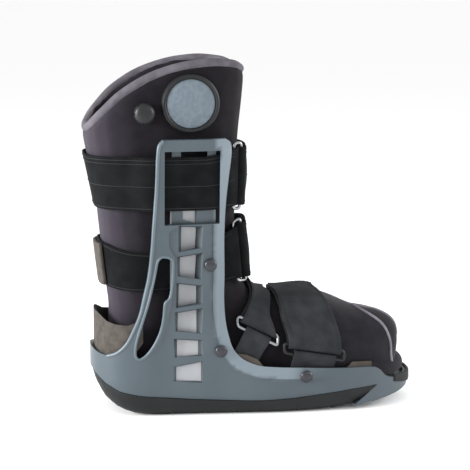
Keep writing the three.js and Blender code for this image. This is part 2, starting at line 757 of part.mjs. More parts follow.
class Strap {
  constructor({ rows, columns = 4, inChannel = false }) {
    this.rows = rows;
    this.columns = columns;
    this.inChannel = inChannel;
  }

  // The row at s between the given ones, with every column blended.
  rowAt(s) {
    const last = this.rows.length - 1;
    const found = this.rows.findIndex((row) => s < row.s);
    const i = found < 0 ? last : Math.max(found, 1);
    const [a, b] = [this.rows[i - 1], this.rows[i]];
    const share = (s - a.s) / (b.s - a.s);
    return Object.fromEntries(Object.keys(a).map((key) => [key, lerp(a[key], b[key], share)]));
  }

  // A point of the strap's middle. Near a ring the strap straightens along the ring's bar.
  point(s, across, extra = 0) {
    const row = this.rowAt(s);
    const onCurve = this.curved(row, across, extra);
    if (row.flat <= 0 || across === 0 || across === 1) return onCurve;
    const straight = this.curved(row, 0, extra).lerp(this.curved(row, 1, extra), across);
    return onCurve.lerp(straight, row.flat);
  }

  curved(row, across, extra) {
    const u = lerp(row.upperU, row.lowerU, across);
    const angle = lerp(row.upperAngle, row.lowerAngle, across);
    const point = onLiner(u, angle, row.stand + strapThickness / 2 + extra);
    if (this.inChannel) {
      const { rear, rearFull, frontFull, front } = channelEnds;
      const share = point.x / soleLength;
      const weight = smoothstep(share, rear, rearFull) * smoothstep(-share, -front, -frontFull);
      point.y = Math.sign(point.y) * lerp(Math.abs(point.y), channelY(point.x, point.z) + extra, weight);
    }
    return point;
  }

  // The strap's own directions at s: on along it in the given sense, and out from the liner.
  frame(s, across, sense = 1) {
    const point = this.point(s, across);
    const along = point.clone().sub(this.point(s - sense * 0.02, across)).normalize();
    const out = this.point(s, across, 1).sub(point);
    out.addScaledVector(along, -out.dot(along)).normalize();
    return { point, along, out };
  }
}

const foldRadius = ringWire / 2 + foldGap + strapThickness / 2;
const layerStep = strapThickness + softGap;

// Points of a strap's middle, one list per column, each with the direction out from its face.
function strapRows(strap, from, to, steps, extra = () => 0) {
  return Array.from({ length: steps + 1 }, (_, i) => {
    const s = lerp(from, to, i / steps);
    return Array.from({ length: strap.columns }, (_, k) => {
      const across = k / (strap.columns - 1);
      const { point, out } = strap.frame(s, across, 1);
      return { point: point.addScaledVector(out, extra(s)), out };
    });
  });
}

// A half turn round a ring's bar at s. The strap arrives on the side away from the bar: inside it
// when the bar lies outwards, as at the ring's front, or outside it when the bar lies inwards.
function foldRows(strap, s, sense, barOutwards, steps = 6) {
  const side = barOutwards ? 1 : -1;
  const ends = [0, 1].map((across) => strap.frame(s, across, sense));
  const blend = (key, across) => ends[0][key].clone().lerp(ends[1][key], across);
  return Array.from({ length: steps + 1 }, (_, i) => {
    const turn = (Math.PI * i) / steps;
    return Array.from({ length: strap.columns }, (_, k) => {
      const across = k / (strap.columns - 1);
      const along = blend("along", across).normalize();
      const out = blend("out", across);
      out.addScaledVector(along, -out.dot(along)).normalize();
      const centre = blend("point", across).addScaledVector(out, side * foldRadius);
      const spoke = out.clone().multiplyScalar(-side * Math.cos(turn)).addScaledVector(along, Math.sin(turn));
      return { point: centre.addScaledVector(spoke, foldRadius), out: spoke.multiplyScalar(-side) };
    });
  });
}

const flipped = (rows) =>
  rows.map((row) => row.map(({ point, out }) => ({ point, out: out.clone().negate() })));

function strapSolid(rows, thickness) {
  const faceOf = (row, side) =>
    row.map(({ point, out }) => point.clone().addScaledVector(out, (side * thickness) / 2));
  const grid = (side) => rows.map((row) => faceOf(row, side));
  return solidOf(thickSheet(grid(1), grid(-1)));
}

// A strap that folds back over itself round the ring's front bar at s = 0. A strap that runs all the
// way round also folds inwards round the ring's rear bar, at its last row.
function strapRowsFolded(strap, { back, settle, steps, backSteps, closeAt = null, tuck = 0 }) {
  const last = strap.rows[strap.rows.length - 1].s;
  const lift = (s) => lerp(2 * foldRadius, layerStep, smoothstep(s, 0, settle));
  const outerLayer = strapRows(strap, back, 0, backSteps, lift).slice(0, -1);
  const frontFold = foldRows(strap, 0, -1, true).reverse();
  const base = strapRows(strap, 0, last, steps).slice(1, closeAt === null ? undefined : -1);
  const rows = [...outerLayer, ...flipped(frontFold), ...flipped(base)];
  if (closeAt === null) return rows;
  const rearFold = foldRows(strap, last, 1, false);
  const tucked = strapRows(strap, last, last - tuck, 3, (s) => -lift(settle * ((last - s) / tuck))).slice(1);
  return [...rows, ...flipped(rearFold), ...tucked];
}

// The bar that a fold at s turns round: its two ends.
function barEnds(strap, s, sense, barOutwards) {
  return [0, 1].map((across) => {
    const { point, along, out } = strap.frame(s, across, sense);
    return { point: point.addScaledVector(out, barOutwards ? foldRadius : -foldRadius), along, out };
  });
}

// A ring of wire through four corners in order, each rounded.
function wireRing(corners, wire = ringWire, sides = 6) {
  const [across, along] = [corners[1].clone().sub(corners[0]), corners[2].clone().sub(corners[1])];
  const normal = new THREE.Vector3().crossVectors(across, along).normalize();
  const path = corners.flatMap((corner, i) => {
    const [before, after] = [corners[(i + 3) % 4], corners[(i + 1) % 4]];
    const arrive = corner.clone().sub(before).normalize();
    const leave = after.clone().sub(corner).normalize();
    const bend = new THREE.QuadraticBezierCurve3(
      corner.clone().addScaledVector(arrive, -wire),
      corner,
      corner.clone().addScaledVector(leave, wire),
    );
    return bend.getPoints(3).map((point, k) => {
      const forward = arrive.clone().lerp(leave, k / 3).normalize();
      return { point, side: new THREE.Vector3().crossVectors(forward, normal).normalize() };
    });
  });
  const points = path.flatMap(({ point, side }) =>
    Array.from({ length: sides }, (_, j) => {
      const turn = (2 * Math.PI * (j + 0.5)) / sides;
      const spoke = side.clone().multiplyScalar(Math.cos(turn)).addScaledVector(normal, Math.sin(turn));
      return point.clone().addScaledVector(spoke, wire / 2);
    }),
  );
  const index = [];
  path.forEach((_, i) => {
    const following = ((i + 1) % path.length) * sides;
    for (let j = 0; j < sides; j++) {
      const next = (j + 1) % sides;
      const [a, b, c, d] = [i * sides + j, i * sides + next, following + next, following + j];
      index.push(a, b, c, a, c, d);
    }
  });
  return solidOf(closedGeometry(points, index));
}

// The four corners of a ring whose front bar is in a strap's fold and whose rear bar is given.
function ringCorners(front, rear, spread) {
  const out = (ends, from, to) => {
    const way = ends[to].point.clone().sub(ends[from].point).normalize();
    return ends[to].point.clone().addScaledVector(way, spread);
  };
  return [out(front, 1, 0), out(front, 0, 1), out(rear, 0, 1), out(rear, 1, 0)];
}

// The rear bar of a ring held by a tab: the front bar moved on along the strap.
function barBeyond(front, gap) {
  const along = front[0].along.clone().add(front[1].along).normalize();
  return front.map(({ point, out }) => ({ point: point.clone().addScaledVector(along, gap), along, out }));
}

// A tab of webbing folded round a ring's rear bar. Its outer leg reaches away and may follow a wall,
// and its inner leg is short.
function tabRows(bar, { outerLeg, innerLeg, legSteps = 5, follow = null, inset = 0.14 }) {
  const width = bar[1].point.clone().sub(bar[0].point);
  const away = bar[0].along.clone();
  away.addScaledVector(width, -away.dot(width) / width.lengthSq()).normalize();
  const out = new THREE.Vector3().crossVectors(width, away).normalize();
  if (out.y > 0) out.negate();
  const shares = Array.from({ length: 4 }, (_, k) => lerp(inset, 1 - inset, k / 3));
  const row = (offset, face, share = 0) =>
    shares.map((across) => {
      const point = bar[0].point.clone().lerp(bar[1].point, across).add(offset);
      if (follow && share > 0) point.y = lerp(point.y, follow(point.x, point.z), smoothstep(share, 0, 0.5));
      return { point, out: face.clone() };
    });
  const leg = (side, length, share, followed) => {
    const lift = side * lerp(foldRadius, (strapThickness + softGap) / 2, smoothstep(share, 0, 0.6));
    const offset = away.clone().multiplyScalar(share * length).addScaledVector(out, lift);
    return row(offset, out, followed ? share : 0);
  };
  const steps = Array.from({ length: legSteps }, (_, i) => (i + 1) / legSteps);
  const turned = Array.from({ length: 7 }, (_, i) => {
    const turn = (Math.PI * i) / 6;
    const spoke = out.clone().multiplyScalar(Math.cos(turn)).addScaledVector(away, -Math.sin(turn));
    return row(spoke.clone().multiplyScalar(foldRadius), spoke);
  });
  const outerRows = steps.slice().reverse().map((share) => leg(1, outerLeg, share, true));
  const innerRows = steps.slice(0, 3).map((share) => leg(-1, innerLeg, share, false));
  return [...outerRows, ...turned, ...flipped(innerRows)];
}

const ringAngle = 33;
const loopAngles = [ringAngle, 0, -33, -62, -90, -120, -150, -180, -210, -240, -270, -290, -306, -320];
const lastAngle = loopAngles.length - 1;

// Columns: place along the strap, sections and angles of its two edges, stand-off from the liner.
const calfStand = [1, 1, 0.53];
const calfStandOff = 0.33;
const calfRows = loopAngles.map((angle, s) => {
  const rearShare = smoothstep(Math.abs(angle), 20, 90) * smoothstep(-Math.abs(angle), -330, -290);
  return {
    s,
    upperU: lerp(2.14, 2.34, rearShare),
    lowerU: lerp(3.84, 3.92, rearShare),
    upperAngle: angle,
    lowerAngle: angle,
    stand: s === lastAngle ? ringStand : (calfStand[s] ?? calfStandOff) * strapStand,
    flat: s === 0 || s === lastAngle ? 1 : 0,
  };
});
const calfStrap = new Strap({ rows: calfRows, columns: 3, inChannel: true });

const ankleUpper = [4.32, 4.28, 4.4, 4.8, 5.02, 4.95, 4.8, 4.75, 4.8, 4.95, 5.02, 4.85, 4.6, 4.42];
const ankleLower = [6.0, 6.04, 6.04, 6.1, 6.14, 6.06, 5.95, 5.9, 5.95, 6.06, 6.14, 6.12, 6.06, 6.0];
const ankleStand = [1.47, 1.83, 0.87];
const ankleRows = loopAngles.map((angle, s) => ({
  s,
  upperU: ankleUpper[s],
  lowerU: ankleLower[s],
  upperAngle: angle - (s === 0 ? 1 : 0),
  lowerAngle: angle - (s === 0 ? 6 : 0),
  stand: s === lastAngle ? ringStand : s in ankleStand ? ankleStand[s] * strapStand : softGap,
  flat: s === 0 || s === lastAngle ? 1 : 0,
}));
const ankleStrap = new Strap({ rows: ankleRows, columns: 3 });

// The end of the ankle strap that comes round the back and lies over the strap below it.
const ankleEnd = new Strap({
  columns: 4,
  rows: [158, 176, 194, 212, 230].map((angle, s) => ({
    s,
    upperU: lerp(4.8, 4.88, s / 4),
    lowerU: lerp(5.88, 5.92, s / 4),
    upperAngle: angle,
    lowerAngle: angle,
    stand: softGap + strapThickness + softGap + ankleEndThickness / 2 - strapThickness / 2,
    flat: 0,
  })),
});

// Rows of a strap over the foot. Columns: place along it, sections and angles of its two edges, its
// stand-off as a share of the straps' own, and how far it straightens along a bar.
const footRows = (rows) =>
  rows.map(([s, upperU, lowerU, upperAngle, lowerAngle, stand, flat]) => ({
    s,
    upperU,
    lowerU,
    upperAngle,
    lowerAngle,
    stand: stand * strapStand,
    flat,
  }));

const instepStrap = new Strap({
  rows: footRows([
    [0, 9.95, 12.2, 66, 82, 0.8, 1],
    [0.5, 8, 10.7, 36, 44, 0.93, 0],
    [1, 6.45, 8.85, 0, 0, 0.8, 0],
    [1.5, 8, 10.7, -36, -44, 0.33, 0],
    [2, 9.95, 12.1, -66, -84, 0.17, 0],
    [2.5, 11, 12.6, -92, -100, 0.17, 0],
  ]),
});
const forefootStrap = new Strap({
  rows: footRows([
    [0, 12.75, 14.4, 88, 90, 1.27, 1],
    [0.5, 11.4, 13.9, 46, 48, 1.33, 0],
    [1, 9.3, 13.15, 0, 0, 1.53, 0],
    [1.5, 11.5, 13.9, -45, -45, 1.27, 0],
    [2, 12.9, 14.4, -80, -80, 0.17, 0],
    [2.4, 12.95, 14.5, -98, -98, 0.17, 0],
  ]),
});

// Inner parts of the shell

const stayRearShare = 0.232;
const stayFrontShare = 0.345;

function buildStay(side) {
  const space = shellForm(shellWall + seatGap, columnDepth + seatGap);
  const within = seatGap + stayThickness;
  const plate = space.subtract(shellForm(shellWall + within, columnDepth + within));
  const outline = roundedOutline(
    stayRearShare * soleLength,
    stayFrontShare * soleLength,
    0.118 * uprightHeight,
    0.925 * uprightHeight,
    0.012 * soleLength,
  );
  const half = side < 0 ? acrossBoot(outline, -linerWidth, 0) : acrossBoot(outline, 0, linerWidth);
  return without(plate.intersect(half), rivetHoles);
}

function wallStrip(footInset, thickness, outline, side) {
  const space = shellForm(footInset, columnDepth + footInset - shellWall);
  const within = footInset + thickness;
  const plate = space.subtract(shellForm(within, columnDepth + within - shellWall));
  const half = side < 0 ? acrossBoot(outline, -linerWidth, 0) : acrossBoot(outline, 0, linerWidth);
  return plate.intersect(half);
}

function buildLining(side) {
  const [from, to] = [0.43 * soleLength, 0.855 * soleLength];
  const places = Array.from({ length: 14 }, (_, i) => lerp(from, to, i / 13));
  const [tabFrom, tabTo] = [0.52 * soleLength, 0.775 * soleLength];
  const top = places.map((x) => {
    const underTab = side < 0 && x > tabFrom && x < tabTo;
    return point2(x, wallTopAt(x) + (underTab ? -liningUnderTab : liningStand));
  });
  const low = places.map((x) => point2(x, wallTopAt(x) - liningDepth));
  const strip = wallStrip(shellWall + seatGap, liningThickness, [...top, ...low.reverse()], side);
  return without(strip, rivetHoles);
}

function buildHeelBand() {
  const outline = [
    [-0.02, 0.18],
    [0.03, 0.17],
    [0.09, 0.17],
    [0.15, 0.27],
    [0.15, 0.355],
    [0.137, 0.345],
    [0.105, 0.332],
    [0.07, 0.334],
    [0.045, 0.342],
    [0.02, 0.366],
    [-0.02, 0.386],
  ].map(([x, z]) => point2(x * soleLength, z * uprightHeight));
  const space = shellForm(shellWall + seatGap, columnDepth + seatGap);
  const within = seatGap + heelBandThickness;
  const plate = space.subtract(shellForm(shellWall + within, columnDepth + within));
  return plate.intersect(acrossBoot(outline));
}

// Air pump: each piece is turned about the liner's own outward direction.

function pumpFrame(x, z) {
  const u = legSectionFor(z);
  const { centre, reach } = sectionAt(u);
  const place = (x - centre.x) / reach;
  const share = Math.sign(place) * Math.abs(place) ** (sectionRoundness / 2);
  const angle = THREE.MathUtils.radToDeg(Math.acos(share));
  const origin = onLiner(u, angle);
  const round = onLiner(u, angle + 2).sub(onLiner(u, angle - 2));
  const down = onLiner(u + 0.1, angle).sub(onLiner(u - 0.1, angle));
  const axis = new THREE.Vector3().crossVectors(round, down).normalize();
  if (axis.y > 0) axis.negate();
  return { origin, axis };
}

function turned(profile, { origin, axis }, segments = 24) {
  const geometry = new THREE.LatheGeometry(profile.map(([r, h]) => point2(r, h)), segments);
  const turn = new THREE.Quaternion().setFromUnitVectors(new THREE.Vector3(0, 1, 0), axis);
  return solidOf(geometry.applyQuaternion(turn).translate(origin.x, origin.y, origin.z));
}

const bulbPlace = pumpFrame(0.293 * soleLength, heightAt(1.442));
const knobPlace = pumpFrame(0.157 * soleLength, heightAt(1.331));

function buildCollar() {
  const [inner, outerRadius] = [bulbRadius + seatGap, bulbRadius + collarWidth];
  const profile = [
    [inner, -pumpRoot],
    [outerRadius, -pumpRoot],
    [outerRadius, collarHeight - collarEdge],
    [outerRadius - collarEdge, collarHeight],
    [inner + collarEdge, collarHeight],
    [inner, collarHeight - collarEdge],
    [inner, -pumpRoot],
  ];
  return turned(profile, bulbPlace, 20).subtract(linerForm(seatGap));
}

function buildBulb() {
  const profile = [
    [0, -pumpRoot],
    [bulbRadius, -pumpRoot],
    [bulbRadius, collarHeight - collarEdge],
    [0.95 * bulbRadius, 0.85 * collarHeight],
    [0.75 * bulbRadius, 0.88 * bulbHeight],
    [0.4 * bulbRadius, 0.98 * bulbHeight],
    [0, bulbHeight],
  ];
  return turned(profile, bulbPlace, 20).subtract(linerForm(seatGap));
}

const seatHeight = 2.6;
const knobSkirt = 1.6;

function buildValveSeat() {
  const profile = [
    [0, -pumpRoot],
    [0.86 * knobRadius, -pumpRoot],
    [0.86 * knobRadius, seatHeight],
    [knobStemRadius, seatHeight],
    [knobStemRadius, seatHeight + 0.6 * knobHeight],
    [0, seatHeight + 0.6 * knobHeight],
  ];
  return turned(profile, knobPlace, 14).subtract(linerForm(seatGap));
}

function buildKnob() {
  const base = seatHeight + seatGap;
  const bore = knobStemRadius + seatGap;
  const boreTop = base + 0.6 * knobHeight + seatGap;
  const profile = [
    [bore, base],
    [knobRadius, base],
    [knobRadius, base + knobSkirt],
    [0.93 * knobRadius, base + 0.62 * knobHeight],
    [0.72 * knobRadius, base + 0.86 * knobHeight],
    [0.4 * knobRadius, base + 0.97 * knobHeight],
    [0, base + knobHeight],
    [0, boreTop],
    [bore, boreTop],
    [bore, base],
  ];
  const { origin, axis } = knobPlace;
  const across = new THREE.Vector3(0, 0, 1).cross(axis).normalize();
  const notchRadius = 0.3 * knobRadius;
  const notches = Array.from({ length: knobLobes }, (_, i) => {
    const way = across.clone().applyAxisAngle(axis, (2 * Math.PI * i) / knobLobes);
    const foot = origin.clone().addScaledVector(way, 1.16 * knobRadius);
    foot.addScaledVector(axis, base + knobSkirt);
    const notch = [[0, 0], [notchRadius, 0], [notchRadius, knobHeight], [0, knobHeight]];
    return turned(notch, { origin: foot, axis }, 6);
  });
  return without(turned(profile, knobPlace, 18), notches);
}

// Materials

const paint = (color, roughness, metalness = 0) =>
  new THREE.MeshStandardMaterial({ color, roughness, metalness });
const finishes = {
  shell: paint(0x6b7a80, 0.5),
  rubber: paint(0x1c1f21, 0.75),
  liner: paint(0x232227, 0.95),
  strap: paint(0x161819, 0.9),
  webbing: paint(0x434448, 0.9),
  steel: paint(0xb9bdbf, 0.35, 0.9),
  darkPlastic: paint(0x2a2c2e, 0.45),
  stay: paint(0xb4b9c0, 0.6),
  band: paint(0x9a918c, 0.7),
  lining: paint(0x6a655f, 0.9),
  rivet: paint(0x70727a, 0.4, 0.6),
  bulb: paint(0x75808a, 0.8),
};

const group = new THREE.Group();

function addPiece(name, solid, material) {
  const mesh = new THREE.Mesh(geometryOf(solid), material);
  mesh.name = name;
  group.add(mesh);
  return mesh;
}

const wallRoomInside = shellWall + seatGap + liningThickness + seatGap + strapThickness / 2;
const insideWall = (x) => -(planHalfAt(x) - wallRoomInside);

const folds = {
  calf: { back: 1.9, settle: 0.6, steps: 24, backSteps: 6, closeAt: lastAngle, tuck: 0.5 },
  ankle: { back: 1.9, settle: 0.6, steps: 24, backSteps: 6, closeAt: lastAngle, tuck: 0.5 },
  instep: { back: 1.3, settle: 0.3, steps: 13, backSteps: 7 },
  forefoot: { back: 1.3, settle: 0.3, steps: 13, backSteps: 7 },
};

addPiece("shell", buildShell(), finishes.shell);
addPiece("outsole", buildOutsole(), finishes.rubber);
addPiece("toe_bumper", buildToeBumper(), finishes.rubber);
addPiece("liner", buildLiner(), finishes.liner);
addPiece("toe_flap", buildToeFlap(), finishes.liner);
addPiece("heel_band", buildHeelBand(), finishes.band);
addPiece("pump_collar", buildCollar(), finishes.darkPlastic);
addPiece("pump_bulb", buildBulb(), finishes.bulb);
addPiece("valve_seat", buildValveSeat(), finishes.darkPlastic);
addPiece("valve_knob", buildKnob(), finishes.darkPlastic);
for (const [side, label] of [[-1, "outer"], [1, "inner"]]) {
  addPiece("side_stay_" + label, buildStay(side), finishes.stay);
  addPiece("wall_lining_" + label, buildLining(side), finishes.lining);
  for (const row of rivetTable) {
    addPiece("rivet_" + row.name + "_" + label, buildRivet(row, side), finishes.rivet);
  }
}

const drilled = (rows) => without(strapSolid(rows, strapThickness), rivetHoles);
for (const [name, strap] of [["calf", calfStrap], ["ankle", ankleStrap]]) {
  const front = barEnds(strap, 0, -1, true);
  const rear = barEnds(strap, strap.rows[strap.rows.length - 1].s, 1, false);
  addPiece(name + "_strap", drilled(strapRowsFolded(strap, folds[name])), finishes.strap);
  addPiece(name + "_ring", wireRing(ringCorners(front, rear, ringSpread)), finishes.steel);
}
addPiece("ankle_strap_end", strapSolid(strapRows(ankleEnd, 0, 4, 10), ankleEndThickness), finishes.band);
const footHardware = {
  instep: { leg: instepTabLeg, inset: 0.14, metal: finishes.steel },
  forefoot: { leg: forefootTabLeg, inset: 0.1, metal: finishes.darkPlastic },
};
for (const [name, strap] of [["instep", instepStrap], ["forefoot", forefootStrap]]) {
  const { leg, inset, metal } = footHardware[name];
  const front = barEnds(strap, 0, -1, true);
  const rear = barBeyond(front, ringGap);
  const tab = tabRows(rear, { outerLeg: leg, innerLeg: tabTail, inset, follow: insideWall });
  addPiece(name + "_strap", drilled(strapRowsFolded(strap, folds[name])), finishes.webbing);
  addPiece(name + "_ring", wireRing(ringCorners(front, rear, ringSpread)), metal);
  addPiece(name + "_tab", drilled(tab), finishes.webbing);
}

// The finished boot stands on its origin: the middle of its own box, at the sole.
const box = new THREE.Box3().setFromObject(group);
const middle = box.getCenter(new THREE.Vector3());
for (const mesh of group.children) mesh.geometry.translate(-middle.x, -middle.y, -box.min.z);

export default group;
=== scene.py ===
"""Looks of a short walking boot: moulded shell, padded liner, four buckled straps and an air pump.

All sizes are millimetres in the boot's own frame until a mesh is made, and then metres.
"""

import json
import logging
import math
from dataclasses import dataclass, field
from enum import Enum
from functools import lru_cache
from typing import Callable, Iterable, Sequence

import bpy
import numpy as np
from mathutils import Matrix, Vector
from mathutils.bvhtree import BVHTree
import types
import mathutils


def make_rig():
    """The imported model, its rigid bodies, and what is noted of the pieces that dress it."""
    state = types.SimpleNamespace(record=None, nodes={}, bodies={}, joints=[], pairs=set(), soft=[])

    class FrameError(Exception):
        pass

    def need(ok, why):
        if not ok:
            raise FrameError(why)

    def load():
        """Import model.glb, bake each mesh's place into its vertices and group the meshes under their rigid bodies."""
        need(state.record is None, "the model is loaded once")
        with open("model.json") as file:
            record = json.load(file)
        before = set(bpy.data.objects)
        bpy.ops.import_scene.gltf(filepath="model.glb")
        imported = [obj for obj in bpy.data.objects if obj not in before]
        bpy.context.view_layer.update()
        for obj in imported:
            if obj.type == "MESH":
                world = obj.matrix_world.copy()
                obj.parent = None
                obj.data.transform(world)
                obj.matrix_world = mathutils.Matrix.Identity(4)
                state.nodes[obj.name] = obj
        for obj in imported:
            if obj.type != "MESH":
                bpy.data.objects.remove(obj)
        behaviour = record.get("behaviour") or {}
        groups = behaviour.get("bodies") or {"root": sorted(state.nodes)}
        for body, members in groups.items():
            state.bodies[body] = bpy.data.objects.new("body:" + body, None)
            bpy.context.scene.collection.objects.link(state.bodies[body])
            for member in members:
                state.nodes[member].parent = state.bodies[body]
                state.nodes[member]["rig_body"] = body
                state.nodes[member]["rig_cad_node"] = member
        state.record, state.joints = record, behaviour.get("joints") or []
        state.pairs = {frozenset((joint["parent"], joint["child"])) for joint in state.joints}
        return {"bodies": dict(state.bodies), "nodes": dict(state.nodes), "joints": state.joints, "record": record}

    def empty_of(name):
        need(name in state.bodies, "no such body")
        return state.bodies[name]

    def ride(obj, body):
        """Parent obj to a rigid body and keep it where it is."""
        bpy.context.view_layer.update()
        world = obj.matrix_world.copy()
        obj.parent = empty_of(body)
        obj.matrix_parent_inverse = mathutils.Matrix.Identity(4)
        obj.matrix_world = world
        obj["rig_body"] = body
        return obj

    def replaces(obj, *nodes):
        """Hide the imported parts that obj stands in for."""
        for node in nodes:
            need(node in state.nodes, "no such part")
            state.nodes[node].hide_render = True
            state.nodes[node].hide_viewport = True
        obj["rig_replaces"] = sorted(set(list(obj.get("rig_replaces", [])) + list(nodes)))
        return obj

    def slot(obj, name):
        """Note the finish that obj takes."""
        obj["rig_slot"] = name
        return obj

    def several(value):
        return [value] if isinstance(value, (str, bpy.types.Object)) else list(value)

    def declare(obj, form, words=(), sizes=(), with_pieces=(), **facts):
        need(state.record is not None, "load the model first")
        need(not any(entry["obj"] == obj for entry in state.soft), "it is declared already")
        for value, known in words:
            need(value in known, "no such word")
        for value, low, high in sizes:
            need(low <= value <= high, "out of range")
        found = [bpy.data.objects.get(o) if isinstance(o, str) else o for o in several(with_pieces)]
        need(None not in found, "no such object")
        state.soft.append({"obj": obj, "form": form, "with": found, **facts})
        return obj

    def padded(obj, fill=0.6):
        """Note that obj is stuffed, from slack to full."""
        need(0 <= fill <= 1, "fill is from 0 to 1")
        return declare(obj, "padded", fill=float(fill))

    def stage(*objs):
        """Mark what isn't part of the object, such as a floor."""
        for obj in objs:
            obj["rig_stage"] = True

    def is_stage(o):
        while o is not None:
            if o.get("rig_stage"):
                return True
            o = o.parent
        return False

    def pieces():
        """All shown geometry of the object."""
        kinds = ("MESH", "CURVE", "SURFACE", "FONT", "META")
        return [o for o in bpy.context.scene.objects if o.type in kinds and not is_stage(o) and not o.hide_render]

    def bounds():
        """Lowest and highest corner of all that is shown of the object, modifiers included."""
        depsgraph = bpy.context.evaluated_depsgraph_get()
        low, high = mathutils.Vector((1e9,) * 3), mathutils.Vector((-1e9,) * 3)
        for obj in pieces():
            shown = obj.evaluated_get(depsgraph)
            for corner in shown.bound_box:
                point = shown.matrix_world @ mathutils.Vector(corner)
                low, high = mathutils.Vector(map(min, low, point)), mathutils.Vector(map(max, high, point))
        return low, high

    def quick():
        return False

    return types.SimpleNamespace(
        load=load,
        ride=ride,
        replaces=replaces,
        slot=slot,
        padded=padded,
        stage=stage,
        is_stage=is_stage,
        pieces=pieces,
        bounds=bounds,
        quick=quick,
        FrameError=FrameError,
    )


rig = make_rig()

Piece = bpy.types.Object
Socket = bpy.types.NodeSocket
LOG = logging.getLogger("walking_boot")
FRAME_SHIFT = Vector((-148.8578, -0.0038, 0.0))
METRE = 0.001
BOOT = "boot"
VALVE = "valve"
SIZE_FILE = "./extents.json"
CUTTER_REACH = 110.0
HEEL_STEPS = 20
SIDE_STEPS = 34


class Side(Enum):
    """The outer side carries the rings and the pump."""

    OUTER = -1
    INNER = 1


class Colour(Enum):
    """Colours of the finishes, as the eye reads them."""

    SHELL = "#3e4950"
    # Painted highlight for the shell's front rim.
    SHELL_RIM = "#6b777f"
    LINER = "#131115"
    # Painted light on the liner's back-facing side.
    LINER_SHEEN = "#3b363f"
    # Painted highlight for the liner's foam rim.
    LINER_RIM = "#615d64"
    BLACK_STRAP = "#090a0b"
    WEBBING = "#2c2d30"
    RUBBER = "#131516"
    STEEL = "#96989a"
    STAY = "#999b9e"
    BAND = "#4c4743"
    LINING = "#413c38"
    RIVET = "#3c3d42"
    BULB = "#616c75"
    DARK = "#0e0f10"
    KNOB = "#1a1b1d"


def linear(hexed: str) -> tuple[float, float, float, float]:
    """A colour for a shader from its written form.

    Args:
        hexed: the colour as #rrggbb.

    Returns:
        Red, green, blue and alpha on the linear scale.
    """
    parts = [int(hexed[i : i + 2], 16) / 255 for i in (1, 3, 5)]
    curve = [c / 12.92 if c <= 0.04045 else ((c + 0.055) / 1.055) ** 2.4 for c in parts]
    return (curve[0], curve[1], curve[2], 1.0)


def lerp(a: float, b: float, share: float) -> float:
    """The value at share of the way from a to b."""
    return a + (b - a) * share


def smoothstep(x: float, low: float, high: float) -> float:
    """A smooth 0 to 1 between low and high.

    Args:
        x: the value.
        low: where it starts.
        high: where it ends.

    Returns:
        A share from 0 to 1.
    """
    if x <= low:
        return 0.0
    if x >= high:
        return 1.0
    t = (x - low) / (high - low)
    return t * t * (3 - 2 * t)


def clamp(x: float, low: float, high: float) -> float:
    """x held between low and high."""
    return max(low, min(high, x))


# Shapes that the frame is made from


class CentripetalLine:
    """A smooth line through points, as the frame's own section lines run."""

    def __init__(self, points: Sequence[Vector]) -> None:
        """Keeps the points that the line passes through."""
        self.points = [Vector(p) for p in points]

    def at(self, place: float) -> Vector:
        """The point at place, which counts the given points from 0.

        Args:
            place: a count of points, with the share of the way to the next one.

        Returns:
            The point on the line.
        """
        points, last = self.points, len(self.points) - 1
        place = clamp(place, 0.0, float(last))
        i = min(int(place), last - 1)
        t = place - i
        p1, p2 = points[i], points[i + 1]
        p0 = points[i - 1] if i > 0 else 2 * points[0] - points[1]
        p3 = points[i + 2] if i + 2 <= last else 2 * points[last] - points[last - 1]
        d0, d1, d2 = (max((b - a).length_squared, 1e-12) ** 0.25 for a, b in ((p0, p1), (p1, p2), (p2, p3)))
        m1 = ((p1 - p0) / d0 - (p2 - p0) / (d0 + d1) + (p2 - p1) / d1) * d1
        m2 = ((p2 - p1) / d1 - (p3 - p1) / (d1 + d2) + (p3 - p2) / d2) * d1
        c2 = -3 * p1 + 3 * p2 - 2 * m1 - m2
        c3 = 2 * p1 - 2 * p2 + m1 + m2
        return p1 + m1 * t + c2 * t * t + c3 * t * t * t


LEG_SECTIONS = (
    (0.477, 2.185, -0.03, 2.185, 1.0),
    (0.473, 1.672, -0.027, 1.672, 1.0),
    (0.455, 0.988, -0.012, 0.988, 0.982),
    (0.45, 0.85, 0.01, 0.85, 0.93),
    (0.448, 0.739, 0.027, 0.739, 0.886),
    (0.446, 0.592, 0.037, 0.592, 0.84),
    (0.46, 0.49, 0.05, 0.454, 0.79),
)
HEEL_SECTIONS = (
    (0.477, 0.447, 0.06, 0.347, 1.05),
    (0.5, 0.423, 0.05, 0.243, 1.0),
    (0.527, 0.415, 0.034, 0.16, 1.0),
)
FOOT_SECTIONS = (
    (0.55, 0.411, 0.075, 1.0),
    (0.58, 0.407, 0.2, 1.0),
    (0.62, 0.405, 0.367, 1.0),
    (0.677, 0.4, 0.533, 1.0),
    (0.74, 0.375, 0.683, 1.0),
    (0.817, 0.347, 0.793, 0.93),
    (0.893, 0.333, 0.878, 0.8),
    (0.944, 0.296, 0.925, 0.6),
    (0.96, 0.217, 0.945, 0.36),
)
TREAD = (
    (0, 1, 0.64),
    (0.013, 0.72, 0.82),
    (0.04, 0.42, 1.02),
    (0.08, 0.18, 1.21),
    (0.133, 0.04, 1.33),
    (0.19, 0, 1.27),
    (0.3, 0, 1.07),
    (0.5, 0, 0.87),
    (0.6, 0, 0.97),
    (0.7, 0.035, 1.13),
    (0.78, 0.09, 1.18),
    (0.87, 0.16, 1.14),
    (0.93, 0.25, 0.8),
    (0.97, 0.32, 0.5),
    (1, 0.45, 0.2),
)
